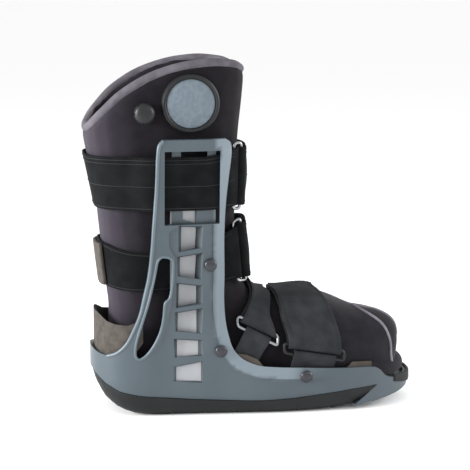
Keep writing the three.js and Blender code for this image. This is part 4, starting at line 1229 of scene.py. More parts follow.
@dataclass
class MouldedShell(SubAssembly):
    """The shell with its uprights, lattice windows, slots and moulded rims."""

    levels: int = 78
    front_tilt: float = 2.2
    front_rim: float = 10.5
    bead_radius: float = 1.7
    bead_sunk: float = 0.45
    recess: float = 1.3
    panel_ends: tuple = (0.13, 0.24, 0.6, 0.8)
    window_mouth: tuple = (1.8, 1.8, 1.5)
    window_edge: tuple = (0.3, 0.2, 0.2)
    window_foot: tuple = (-2.2, -4.8, -1.3)

    def build(self) -> None:
        """Builds the shell and the rims that stand on it."""
        shell = self.walls()
        self.paint_rim_light_and_pocket_shade(shell)
        smooth(shell, 28)
        self.place(shell, SHELL_PLASTIC, "shell", ["shell"])
        beads = [bead for side in Side for bead in self.beads(side)]
        # The rims take the lighter plastic as a painted highlight.
        self.place(joined("moulded_rims", beads), LIT_RIM_PLASTIC, "shell")

    def form(
        self, name: str, foot_inset: float, column_inset: float,
        lean: Callable[[float, float], float] | None = None,
    ) -> Piece:
        """The full form that the walls are cut from.

        Args:
            name: the new object's name.
            foot_inset: how far it is moved inwards round the foot.
            column_inset: the same at the uprights.
            lean: how far a point at x and z leans in besides.

        Returns:
            The closed form.
        """
        plan = FORM.half_plan(foot_inset)
        rings = []
        for k in range(self.levels + 1):
            z = FORM.height_at(lerp(-0.06, 1.08, k / self.levels))
            half = []
            for x, y in plan:
                before_ball = smoothstep(-x, -FORM.ball_place * LENGTH, -0.51 * LENGTH)
                near = FORM.clear_of_heel(x) * before_ball
                out = FORM.flared_at(x, z, y, column_inset, near)
                if lean:
                    out -= lean(x, z)
                half.append((x, -out, z))
            tip = [(LENGTH - foot_inset, 0.0, z)]
            rings.append(half + tip + [(x, -y, z) for x, y, _ in half[:0:-1]])
        piece = grid_piece(name, np.array(rings), False, True)
        cap_holes(piece)
        return piece

    @staticmethod
    def in_millimetres(outline: Sequence[tuple[float, float]]) -> list[tuple[float, float]]:
        """A side-view outline given in shares of the sole's length and the uprights' height."""
        return [(x * LENGTH, z * HEIGHT) for x, z in outline]

    @staticmethod
    def rounded_line(part: slice, steps: int = 6) -> list[tuple[float, float]]:
        """A stretch of the shell's top edge, smooth through its points.

        Args:
            part: which of the top's points.
            steps: steps between two points.

        Returns:
            Points as x and height, in millimetres.
        """
        line = CentripetalLine([(x, 0, z) for x, z in MouldedShell.in_millimetres(SHELL_TOP[part])])
        count = (len(line.points) - 1) * steps
        spots = [line.at(i / steps) for i in range(count + 1)]
        return [(p.x, p.z) for p in spots]

    def front_edge(self) -> np.ndarray:
        """The side view's front edge, from the upright's top corner to the toe."""
        return np.array(self.rounded_line(FRONT_EDGE))

    def tilt_at(self, edge: np.ndarray, x: float, z: float) -> float:
        """How far the surface leans in at a point near the front edge.

        Args:
            edge: the front edge's points.
            x: the place along the sole.
            z: the height.

        Returns:
            How far it leans in.
        """
        away = float(np.min(np.hypot(edge[:, 0] - x, edge[:, 1] - z)))
        share = clamp(1 - away / self.front_rim, 0.0, 1.0)
        fade = smoothstep(x, 0.33 * LENGTH, 0.36 * LENGTH)
        to_toe = 1 - smoothstep(x, 0.62 * LENGTH, 0.85 * LENGTH)
        return self.front_tilt * share * fade * to_toe

    def recess_at(self, x: float, _z: float) -> float:
        """How deep the panel between the rims lies.

        Args:
            x: the place along the sole.
            _z: the height, which makes no difference.

        Returns:
            The depth, less than nothing past the panel's ends.
        """
        rear, full, fading, front = (share * LENGTH for share in self.panel_ends)
        share = smoothstep(x, rear, full) * smoothstep(-x, -front, -fading)
        return lerp(-0.4, self.recess, share)

    def panel_outline(self) -> list[tuple[float, float]]:
        """The recessed panel in side view: inside the front rim, the rear rim and the frame.

        Returns:
            Its outline as x and height.
        """
        edge = np.array(self.rounded_line(PANEL_FRONT))
        line = self.resampled(edge, 60)
        along = np.gradient(line, axis=0)
        along /= np.linalg.norm(along, axis=1, keepdims=True)
        inside = line + np.stack([along[:, 1], -along[:, 0]], axis=1) * self.front_rim
        front = [tuple(p) for p in inside]
        under = [(x, FORM.rubber_top_at(x) - 6.0) for x in np.linspace(0.74 * LENGTH, 36.0, 24)]
        return front + under + self.in_millimetres(PANEL_REAR)

    def walls(self) -> Piece:
        """The shell's walls with every opening cut.

        Returns:
            The shell, still without its finish.
        """
        edge = self.front_edge()
        outer = self.form("moulded_shell", 0.0, 0.0, lambda x, z: self.tilt_at(edge, x, z))
        panel = prism("panel_recess", self.panel_outline())
        cut(panel, self.form("panel_floor", 0.0, 0.0, self.recess_at))
        cut(outer, panel)
        hollow = self.form("shell_hollow", FORM.shell_wall, FORM.column_depth)
        places = [lerp(-0.02, 1.03, i / 30) * LENGTH for i in range(31)]
        above = [(x, FORM.floor_at(x)) for x in places]
        above += [(1.03 * LENGTH, 330.0), (-0.02 * LENGTH, 330.0)]
        cut(hollow, prism("above_floor", above), "INTERSECT")
        cut(outer, hollow)
        top = self.rounded_line(REAR_EDGE) + self.rounded_line(FRONT_EDGE)
        band = self.underside() + top[::-1]
        cut(outer, prism("side_band", band), "INTERSECT")
        cut(outer, prism("slot_cut", self.in_millimetres(self.rounded(SLOT))))
        self.cut_frame(outer)
        cut(outer, joined("window_cuts", [self.window(row, side) for side in Side for row in WINDOWS]))
        return outer

    @staticmethod
    def rounded(outline: Sequence[tuple[float, float]], rounds: int = 2) -> list[tuple[float, float]]:
        """An outline with its corners cut back, which rounds them.

        Args:
            outline: its corners.
            rounds: how many times they are cut.

        Returns:
            The rounded outline.
        """
        points = [Vector((x, z)) for x, z in outline]
        for _ in range(rounds):
            cornered = []
            for a, b in zip(points, points[1:] + points[:1]):
                cornered += [a.lerp(b, 0.22), a.lerp(b, 0.78)]
            points = cornered
        return [(p.x, p.y) for p in points]

    @staticmethod
    def underside() -> list[tuple[float, float]]:
        """The shell's underside in side view, along the sole and down to the toe's tip.

        Returns:
            Points as x and height.
        """
        line = []
        for i in range(21):
            x = lerp(-0.01, 0.87, i / 20) * LENGTH
            line.append((x, FORM.rubber_top_at(x) + FORM.seat_gap))
        line[-1] = (line[-1][0] + 0.6, line[-1][1])
        for share in TOE_UNDERSIDE:
            x = share * LENGTH
            line.append((x + (2.3 if share == TOE_UNDERSIDE[0] else 0.0), FORM.bottom_at(x) + 1.2))
        return line

    def cut_frame(self, shell: Piece) -> None:
        """Opens the frame at the uprights' tops, with the thin panel and the tabs left in it.

        Args:
            shell: the shell, which is cut.
        """
        low, top = 0.7 * HEIGHT, 0.96 * HEIGHT
        rear, front = 0.212 * LENGTH, 0.378 * LENGTH
        panel_rear, panel_front = 0.236 * LENGTH, 0.367 * LENGTH
        tab, drop = 0.026 * LENGTH, 0.028 * HEIGHT
        wall, depth = FORM.shell_wall, FORM.column_depth
        spot = self.box("frame_opening", rear, front, low, top)
        cut(spot, self.form("panel_face", wall, depth - FORM.panel_thickness))
        cut(shell, spot)
        for fx, tx, fz, tz in (
            (0.0, panel_rear, low, top),
            (panel_front, LENGTH, low, top),
            (panel_rear + tab, panel_front - tab, top - drop, top),
        ):
            spot = self.box("behind_rails", fx, tx, fz, tz)
            cut(spot, self.form("rail_face", wall, FORM.rail_thickness), "INTERSECT")
            cut(shell, spot)

    @staticmethod
    def box(name: str, fx: float, tx: float, fz: float, tz: float) -> Piece:
        """A block right across the boot between two places and two heights."""
        return prism(name, [(fx, fz), (tx, fz), (tx, tz), (fx, tz)])

    @staticmethod
    def window_corners(row: Sequence[float]) -> list[Vector]:
        """A window's four corners in side view, from the rear's foot round.

        Args:
            row: the levels of its rear top, rear foot, front foot and front top.

        Returns:
            The corners.
        """
        rear_top, rear_low, front_low, front_top = row
        low_x, top_x = (FORM.table_at(WINDOW_REAR, 1, level) for level in (rear_low, rear_top))
        corners = [(low_x, rear_low), (WINDOW_FRONT, front_low), (WINDOW_FRONT, front_top), (top_x, rear_top)]
        return [Vector(corner) for corner in MouldedShell.in_millimetres(corners)]

    def window(self, row: Sequence[float], side: Side) -> Piece:
        """A drafted pocket with a chamfered mouth, right through one upright.

        Args:
            row: the window's levels.
            side: the upright's side.

        Returns:
            The cutter.
        """
        corners = self.window_corners(row)
        middle = sum(corners, Vector((0, 0))) / 4
        wall = FORM.side_y(middle.x, middle.y)
        back = lerp(FORM.shell_wall, FORM.column_depth, FORM.flare_at(middle.y)) + 0.8
        face = wall - self.recess
        rings = []
        for y, (rear, front, upright) in (
            (wall + 14, self.window_mouth), (face + 0.3, self.window_mouth), (face - 1.3, self.window_edge),
            (wall - back, self.window_foot), (wall - 14, self.window_foot),
        ):
            ring = []
            for corner in corners:
                x = corner.x - rear if corner.x < middle.x else corner.x + front
                ring.append((x, side.value * y, corner.y + math.copysign(upright, corner.y - middle.y)))
            rings.append(ring)
        piece = grid_piece("window_cut", np.array(rings), False, True)
        cap_holes(piece)
        return piece

    def paint_rim_light_and_pocket_shade(self, shell: Piece) -> None:
        """Paints light and shade into the shell's points for its finish: a painted highlight on the front rim and
        painted shade deep in the pockets.

        Args:
            shell: the shell, whose points are marked.
        """
        edge = self.front_edge()
        marks, pocket_shade = [], []
        for vertex in shell.data.vertices:
            x = vertex.co.x / METRE - FRAME_SHIFT.x
            z = vertex.co.z / METRE
            away = float(np.min(np.hypot(edge[:, 0] - x, edge[:, 1] - z)))
            fade = smoothstep(x, 0.33 * LENGTH, 0.35 * LENGTH)
            fade *= 1 - smoothstep(x, 0.58 * LENGTH, 0.7 * LENGTH)
            # Painted highlight along the front rim.
            marks.append(0.85 * smoothstep(-away, -self.front_rim - 0.3, 0.4 - self.front_rim) * fade)
            # Painted shade: points deep in the window pockets, below the frame, are darker.
            y = abs(vertex.co.y / METRE - FRAME_SHIFT.y)
            deep = FORM.side_y(x, z) - y if 0.2 < x / LENGTH < 0.4 and z > 30 else 0.0
            below_frame = smoothstep(-z, -0.72 * HEIGHT, -0.69 * HEIGHT)
            pocket_shade.append(smoothstep(deep, self.recess + 0.7, self.recess + 1.2) * below_frame)
        paint_points(shell, "rim", marks)
        paint_points(shell, "pocket", pocket_shade)

    def beads(self, side: Side) -> list[Piece]:
        """The raised rims along the upright's rear edge and round its slot.

        Args:
            side: the upright's side.

        Returns:
            The two rims.
        """
        inset = 0.6 * self.bead_radius

        def on_face(line: np.ndarray, closed: bool) -> list[Vector]:
            """The line moved in a little and laid on the shell's outer side.

            Args:
                line: its points in side view.
                closed: whether its end meets its start.

            Returns:
                The bead's middle line.
            """
            path = []
            outline = [Vector(p) for p in line]
            count = len(outline)
            for i, p in enumerate(outline):
                before = outline[i - 1] if closed or i else p
                after = outline[(i + 1) % count] if closed or i + 1 < count else p
                along = (after - before).normalized()
                inwards = Vector((along.y, -along.x)) * inset
                spot = p + (inwards if not closed else -inwards * 0.4)
                y = FORM.side_y(spot.x, spot.y) - self.bead_sunk * self.bead_radius
                path.append(Vector((spot.x, side.value * y, spot.y)))
            return path

        rear = self.resampled(np.array(self.rounded_line(REAR_BEAD)), 90)
        slot = self.in_millimetres(self.rounded(SLOT))
        slot = self.resampled(np.array(slot + slot[:1]), 110)[:-1]
        label = side.name.lower()
        return [
            tube("rear_rim_" + label, on_face(rear, False), self.bead_radius),
            tube("slot_rim_" + label, on_face(slot, True), 0.8 * self.bead_radius, closed=True),
        ]

    @staticmethod
    def resampled(line: np.ndarray, count: int) -> np.ndarray:
        """A side-view line in equal steps.

        Args:
            line: its points.
            count: how many come back.

        Returns:
            The new points.
        """
        steps = travelled(line)
        spots = np.linspace(0, steps[-1], count)
        return np.stack([np.interp(spots, steps, line[:, axis]) for axis in (0, 1)], axis=1)


# Pieces that keep the frame's shape, made smooth


@dataclass
class FittedParts(SubAssembly):
    """Sole, bumper, heel band, stays, wall linings and rivets, with their edges eased."""

    cap_start: float = 0.93
    cap_lows: tuple = (0.062, 0.085)
    cap_halves: tuple = (2.0, 1.4)
    cap_rise: float = 1.4
    cap_sides: int = 20
    head_radius: float = 5.6
    head_rise: float = 2.3
    shank_radius: float = 2.0
    shank_length: float = 3.4
    stand_off: float = 0.9

    def build(self) -> None:
        """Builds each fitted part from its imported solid."""
        self.fit("outsole", SOLE_RUBBER, "rubber", 0.0008)
        self.bumper()
        self.fit("heel_band", BAND_FELT, "band", 0.0006)
        for side in Side:
            label = side.name.lower()
            self.fit("side_stay_" + label, STAY_PLASTIC, "stay", 0.0)
            self.fit("wall_lining_" + label, LINING_FELT, "lining", 0.0004)
            for row in RIVETS:
                self.rivet(row, side)

    def fit(self, node: str, finish: Finish, slot: str, bevel: float) -> None:
        """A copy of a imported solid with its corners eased.

        Args:
            node: the solid's name.
            finish: what it is made of.
            slot: its material slot.
            bevel: the rounding's width in metres.
        """
        piece = node_copy(self.frame, node, node + "_skin")
        if bevel:
            ease(piece, bevel, 50)
        smooth(piece, 38)
        if finish.masks:
            paint_points(piece, "edge", [smoothstep(v.normal.z, 0.2, 0.5) for v in piece.data.vertices])
        self.place(piece, finish, slot, [node])

    def bumper(self) -> None:
        """The rubber cap over the toe's tip, lapped over the shell's edge."""
        plan = FORM.toe_plan(0.0, self.cap_start)
        centre = Vector((FORM.ball_place * LENGTH, 0.0, 0.0))
        rows = []
        for i, (x, y) in enumerate(plan):
            away = (Vector((x, y, 0)) - centre).normalized()
            share = abs(2 * i / (len(plan) - 1) - 1)
            low = lerp(*self.cap_lows, share**2) * HEIGHT
            top = FORM.wall_top_at(x) + self.cap_rise
            half = lerp(*self.cap_halves, share**2)
            ring = []
            for k in range(self.cap_sides):
                turn = 2 * math.pi * k / self.cap_sides
                out = half * math.copysign(abs(math.cos(turn)) ** 0.6, math.cos(turn))
                up = math.copysign(abs(math.sin(turn)) ** 0.5, math.sin(turn))
                spot = Vector((x, y, 0)) + away * (out + 0.2)
                ring.append([spot.x, spot.y, lerp(low, top, (up + 1) / 2)])
            rows.append(ring)
        piece = grid_piece("toe_bumper_cap", np.array(rows), False, True)
        cap_holes(piece)
        smooth(piece, 50)
        self.place(piece, SOLE_RUBBER, "rubber", ["toe_bumper"])

    def rivet(self, row: str, side: Side) -> None:
        """A domed rivet head on its shank.

        Args:
            row: the rivet's name in the table.
            side: the boot's side.
        """
        ((x, z),) = MouldedShell.in_millimetres([RIVETS[row]])
        foot = Vector((x, side.value * (FORM.side_y(x, z) + self.stand_off), z))
        radius, shank, depth = self.head_radius, self.shank_radius, self.shank_length
        turns = np.linspace(0, math.pi / 2, 8)
        dome = [(radius * math.cos(a), 0.5 + self.head_rise * math.sin(a)) for a in turns]
        profile = [(0, -depth), (shank, -depth), (shank, 0), (5.2, 0), (radius, 0.25)] + dome
        name = f"rivet_{row}_{side.name.lower()}"
        head = turned(name + "_head", profile, foot, Vector((0, side.value, 0)), 32)
        self.place(head, RIVET_METAL, "rivet", [name])


# The padded liner


@dataclass
class PaddedLiner(SubAssembly):
    """The padded boot inside, and the flap that closes over the toes."""

    voxel: float = 0.004
    most_swell: float = 0.0035
    pinned_within: float = 0.006
    wall: float = 9.0
    rim_radius: float = 4.4
    roll_inset: float = 12.6
    roll_start: float = 0.85
    roll_level: float = 0.132
    roll_radius: float = 8.8
    piping_radius: float = 1.3
    binding_radius: float = 1.8
    flap_edge: list = field(default_factory=list)

    def build(self) -> None:
        """Builds the liner and its toe flap."""
        self.place(self.liner(), LINER_FLEECE, "liner", ["liner"])
        # The foam rim takes a lighter finish as a painted highlight.
        self.place(self.foam_rim(), LIT_FOAM_EDGE, "liner")
        self.place(self.flap(), FLAP_FLEECE, "liner", ["toe_flap"])
        self.place(self.binding(), EDGE_BINDING, "liner")
        self.place(self.toe_roll(), FLAP_FLEECE, "liner")
        self.place(self.toe_piping(), EDGE_BINDING, "liner")

    def near_tree(self) -> BVHTree:
        """Everything that presses on the liner, for finding what is near.

        Returns:
            A tree of their faces.
        """
        points, faces = [], []
        for name, node in self.frame["nodes"].items():
            if name in ("liner", "toe_flap") or "rivet" in name:
                continue
            first = len(points)
            points += [v.co.copy() for v in node.data.vertices]
            faces += [[first + i for i in p.vertices] for p in node.data.polygons]
        return BVHTree.FromPolygons(points, faces)

    def liner(self) -> Piece:
        """The liner: remeshed, swollen where nothing presses on it, and smoothed.

        Returns:
            The liner, declared as padded.
        """
        piece = node_copy(self.frame, "liner", "padded_liner")
        apply_modifier(piece, "REMESH", mode="VOXEL", voxel_size=self.voxel)
        self.smooth_top(piece)
        apply_modifier(piece, "SMOOTH", factor=0.5, iterations=4)
        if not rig.quick():
            self.swell(piece)
        apply_modifier(piece, "SUBSURF", levels=1, render_levels=1)
        smooth(piece, 180)
        # Painted light: the back-facing fleece takes the paler sheen colour.
        paint_points(piece, "blush", self.blush(piece))
        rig.padded(piece, fill=0.6)
        return piece

    def smooth_top(self, piece: Piece) -> None:
        """Draws the top edge down and even, so that the foam rim covers it.

        Args:
            piece: the liner.
        """
        group = piece.vertex_groups.new(name="top")
        for vertex in piece.data.vertices:
            x = vertex.co.x / METRE - FRAME_SHIFT.x
            below = self.top_at(x) - vertex.co.z / METRE
            group.add([vertex.index], smoothstep(-below, -9.0, -3.0), "REPLACE")
        apply_modifier(piece, "SMOOTH", factor=0.6, iterations=14, vertex_group="top")
        piece.vertex_groups.clear()

    @staticmethod
    def top_at(x: float) -> float:
        """The liner's top edge at x."""
        table = [(p * LENGTH, FORM.height_at(z)) for p, z in LINER_TOP]
        return FORM.table_at(table, 1, x)

    def foam_rim(self) -> Piece:
        """The rounded foam edge all round the liner's top.

        Returns:
            The edge.
        """
        path = []
        for angle in np.linspace(0, 360, 120, endpoint=False):
            low, high = 0.0, 6.0
            for _ in range(30):
                middle = (low + high) / 2
                spot = FORM.on_liner(middle, float(angle), -self.wall / 2)
                if spot.z > self.top_at(spot.x) - 0.88 * self.rim_radius:
                    low = middle
                else:
                    high = middle
            path.append(FORM.on_liner((low + high) / 2, float(angle), -self.wall / 2))
        points = np.array([list(p) for p in path])
        for _ in range(6):
            points = (np.roll(points, 1, axis=0) + 2 * points + np.roll(points, -1, axis=0)) / 4
        return tube("liner_foam_rim", [Vector(p) for p in points], self.rim_radius, 20, closed=True)

    def swell(self, piece: Piece) -> None:
        """Blows the padding up as cloth, held where straps and shell press on it.

        Args:
            piece: the liner.
        """
        tree = self.near_tree()
        rest = np.empty(len(piece.data.vertices) * 3)
        piece.data.vertices.foreach_get("co", rest)
        rest = rest.reshape(-1, 3)
        held = piece.vertex_groups.new(name="held")
        for vertex in piece.data.vertices:
            _, _, _, away = tree.find_nearest(vertex.co)
            weight = clamp(1.6 - (away or 1.0) / self.pinned_within, 0.0, 1.0)
            held.add([vertex.index], weight, "REPLACE")
        activate(piece)
        cloth = piece.modifiers.new("swell", "CLOTH")
        cloth.settings.use_pressure = True
        cloth.settings.uniform_pressure_force = 4
        cloth.settings.vertex_group_mass = "held"
        cloth.settings.effector_weights.gravity = 0
        scene = bpy.context.scene
        for step in range(1, 13):
            scene.frame_set(step)
        bpy.ops.object.modifier_apply(modifier="swell")
        scene.frame_set(1)
        moved = np.empty(len(rest) * 3)
        piece.data.vertices.foreach_get("co", moved)
        shift = moved.reshape(-1, 3) - rest
        size = np.linalg.norm(shift, axis=1, keepdims=True)
        capped = rest + shift * np.minimum(1.0, self.most_swell / np.maximum(size, 1e-9))
        piece.data.vertices.foreach_set("co", capped.ravel())
        piece.vertex_groups.clear()
        piece.data.update()

    @staticmethod
    def blush(piece: Piece) -> list[float]:
        """Marks for painted light: the fleece's back-facing side is painted a paler, purple-grey sheen, more weakly
        near the top.

        Args:
            piece: the liner.

        Returns:
            A mark for each point.
        """
        marks = []
        for vertex in piece.data.vertices:
            back = clamp(-vertex.normal.x, 0.0, 1.0) ** 1.2
            low = 1 - smoothstep(vertex.co.z / METRE, 0.75 * FORM.boot_height, FORM.boot_height)
            marks.append(0.85 * back * lerp(0.5, 1.0, low))
        return marks

    def flap(self) -> Piece:
        """The flap over the toes, a soft sheet whose front edge is marked.

        Returns:
            The flap.
        """
        columns = np.array(FLAP_SECTIONS)
        count = len(columns)
        middle = FORM.flap_stand + FORM.flap_thickness / 2
        rows = []
        for place in np.linspace(0, count - 1, 33):
            u, front, low = (float(np.interp(place, range(count), columns[:, c])) for c in range(3))
            rows.append([list(FORM.on_liner(u, lerp(front, low, k / 40), middle)) for k in range(41)])
        piece = grid_piece("toe_flap_cloth", np.array(rows))
        thicken(piece, FORM.flap_thickness)
        ease(piece, 0.0006)
        smooth(piece, 60)
        self.flap_edge = [Vector(row[0]) for row in rows]
        edge = np.array([row[0] for row in rows])
        marks = []
        for vertex in piece.data.vertices:
            spot = np.array(vertex.co / METRE - FRAME_SHIFT)
            marks.append(0.6 * smoothstep(-float(np.min(np.linalg.norm(edge - spot, axis=1))), -5.0, -2.0))
        paint_points(piece, "edge", marks)
        return piece

    def toe_roll(self) -> Piece:
        """The soft roll at the flap's foot that fills the shell's toe.

        Returns:
            The roll.
        """
        height = self.roll_level * HEIGHT
        path = [Vector((x, y, height)) for x, y in FORM.toe_plan(self.roll_inset, self.roll_start)]
        roll = tube("toe_roll", path, self.roll_radius, 20)
        paint_points(roll, "edge", [0.0] * len(roll.data.vertices))
        return roll

    def toe_piping(self) -> Piece:
        """The piping that runs down the toe's outer corner.

        Returns:
            The piping.
        """
        line = CentripetalLine(TOE_PIPING)
        offset = FORM.flap_stand + FORM.flap_thickness + 0.3
        spots = [line.at(i / 12) for i in range(49)]
        path = [FORM.on_liner(p.x, p.y, offset) for p in spots]
        return tube("toe_piping", path, self.piping_radius, 12)

    def binding(self) -> Piece:
        """The round binding along the flap's front edge."""
        return tube("toe_flap_binding", self.flap_edge, self.binding_radius, 12)


# Straps


@dataclass
class StrapLay:
    """How a strap lies on the liner: rows of place, sections, angles, stand-off and straightness."""

    rows: list
    in_channel: bool = False

    def row_at(self, s: float) -> list[float]:
        """The lay's row at s.

        Args:
            s: the place along the lay.

        Returns:
            The row's values there.
        """
        last = len(self.rows) - 1
        i = next((n for n, row in enumerate(self.rows) if s < row[0]), last)
        i = max(i, 1)
        a, b = self.rows[i - 1], self.rows[i]
        share = (s - a[0]) / (b[0] - a[0])
        return [lerp(p, q, share) for p, q in zip(a, b)]

    def curved(self, row: Sequence[float], across: float, extra: float) -> Vector:
        """A point on the liner's curve, or in the uprights' channel.

        Args:
            row: the lay's row.
            across: the share of the way over the width.
            extra: how far it stands out besides.

        Returns:
            The point.
        """
        u, angle = lerp(row[1], row[2], across), lerp(row[3], row[4], across)
        point = FORM.on_liner(u, angle, row[5] + FORM.strap_thickness / 2 + extra)
        if self.in_channel:
            share = point.x / LENGTH
            weight = smoothstep(share, 0.1, 0.175) * smoothstep(-share, -0.45, -0.41)
            depth = FORM.column_depth - FORM.panel_thickness
            channel = FORM.upright_face(point.x, point.z) - depth + (depth - FORM.rail_thickness) / 2
            point.y = math.copysign(lerp(abs(point.y), channel + extra, weight), point.y)
        return point

    def point(self, s: float, across: float, extra: float = 0.0) -> Vector:
        """A point of the strap's middle, straightened along a ring's bar near it.

        Args:
            s: the place along the lay.
            across: the share of the way over the width.
            extra: how far it stands out besides.

        Returns:
            The point.
        """
        row = self.row_at(s)
        on_curve = self.curved(row, across, extra)
        if row[6] <= 0 or across in (0, 1):
            return on_curve
        straight = self.curved(row, 0, extra).lerp(self.curved(row, 1, extra), across)
        return on_curve.lerp(straight, row[6])

    def frame(self, s: float, across: float, sense: int = 1) -> tuple[Vector, Vector, Vector]:
        """The strap's place and directions at s.

        Args:
            s: the place along the lay.
            across: the share of the way over the width.
            sense: 1 for looking back along the lay, and -1 ahead.

        Returns:
            The point, the direction along and the direction out.
        """
        point = self.point(s, across)
        along = (point - self.point(s - sense * 0.02, across)).normalized()
        out = self.point(s, across, 1) - point
        out = (out - along * out.dot(along)).normalized()
        return point, along, out


LOOP_ANGLES = (33, 0, -33, -62, -90, -120, -150, -180, -210, -240, -270, -290, -306, -320)
LAST_LOOP = len(LOOP_ANGLES) - 1
RING_STAND = 6.0


def calf_lay() -> StrapLay:
    """The calf strap, which runs through the uprights' channels.

    Returns:
        Its lay.
    """
    rows = []
    for s, angle in enumerate(LOOP_ANGLES):
        share = smoothstep(abs(angle), 20, 90) * smoothstep(-abs(angle), -330, -290)
        stand = RING_STAND if s == LAST_LOOP else (3.0, 3.0, 1.59)[s] if s < 3 else 0.99
        flat = 1.0 if s in (0, LAST_LOOP) else 0.0
        rows.append([s, lerp(2.14, 2.34, share), lerp(3.84, 3.92, share), angle, angle, stand, flat])
    return StrapLay(rows, in_channel=True)


def ankle_lay() -> StrapLay:
    """The ankle strap, which passes inside the uprights and round the back.

    Returns:
        Its lay.
    """
    upper = (4.32, 4.28, 4.4, 4.8, 5.02, 4.95, 4.8, 4.75, 4.8, 4.95, 5.02, 4.85, 4.6, 4.42)
    lower = (6.0, 6.04, 6.04, 6.1, 6.14, 6.06, 5.95, 5.9, 5.95, 6.06, 6.14, 6.12, 6.06, 6.0)
    rows = []
    for s, angle in enumerate(LOOP_ANGLES):
        stand = RING_STAND if s == LAST_LOOP else (4.41, 5.49, 2.61)[s] if s < 3 else 0.5
        flat = 1.0 if s in (0, LAST_LOOP) else 0.0
        turned_up, turned_low = (1, 6) if s == 0 else (0, 0)
        rows.append([s, upper[s], lower[s], angle - turned_up, angle - turned_low, stand, flat])
    return StrapLay(rows)


INSTEP_LAY = StrapLay(
    [
        [0, 9.95, 12.2, 66, 82, 2.4, 1],
        [0.5, 8, 10.7, 36, 44, 2.79, 0],
        [1, 6.45, 8.85, 0, 0, 2.4, 0],
        [1.5, 8, 10.7, -36, -44, 0.99, 0],
        [2, 9.95, 12.1, -66, -84, 0.51, 0],
        [2.5, 11, 12.6, -92, -100, 0.51, 0],
    ]
)
FOREFOOT_LAY = StrapLay(
    [
        [0, 12.75, 14.4, 88, 90, 3.81, 1],
        [0.5, 11.4, 13.9, 46, 48, 3.99, 0],
        [1, 9.3, 13.15, 0, 0, 4.59, 0],
        [1.5, 11.5, 13.9, -45, -45, 3.81, 0],
        [2, 12.9, 14.4, -80, -80, 0.51, 0],
        [2.4, 12.95, 14.5, -98, -98, 0.51, 0],
    ]
)


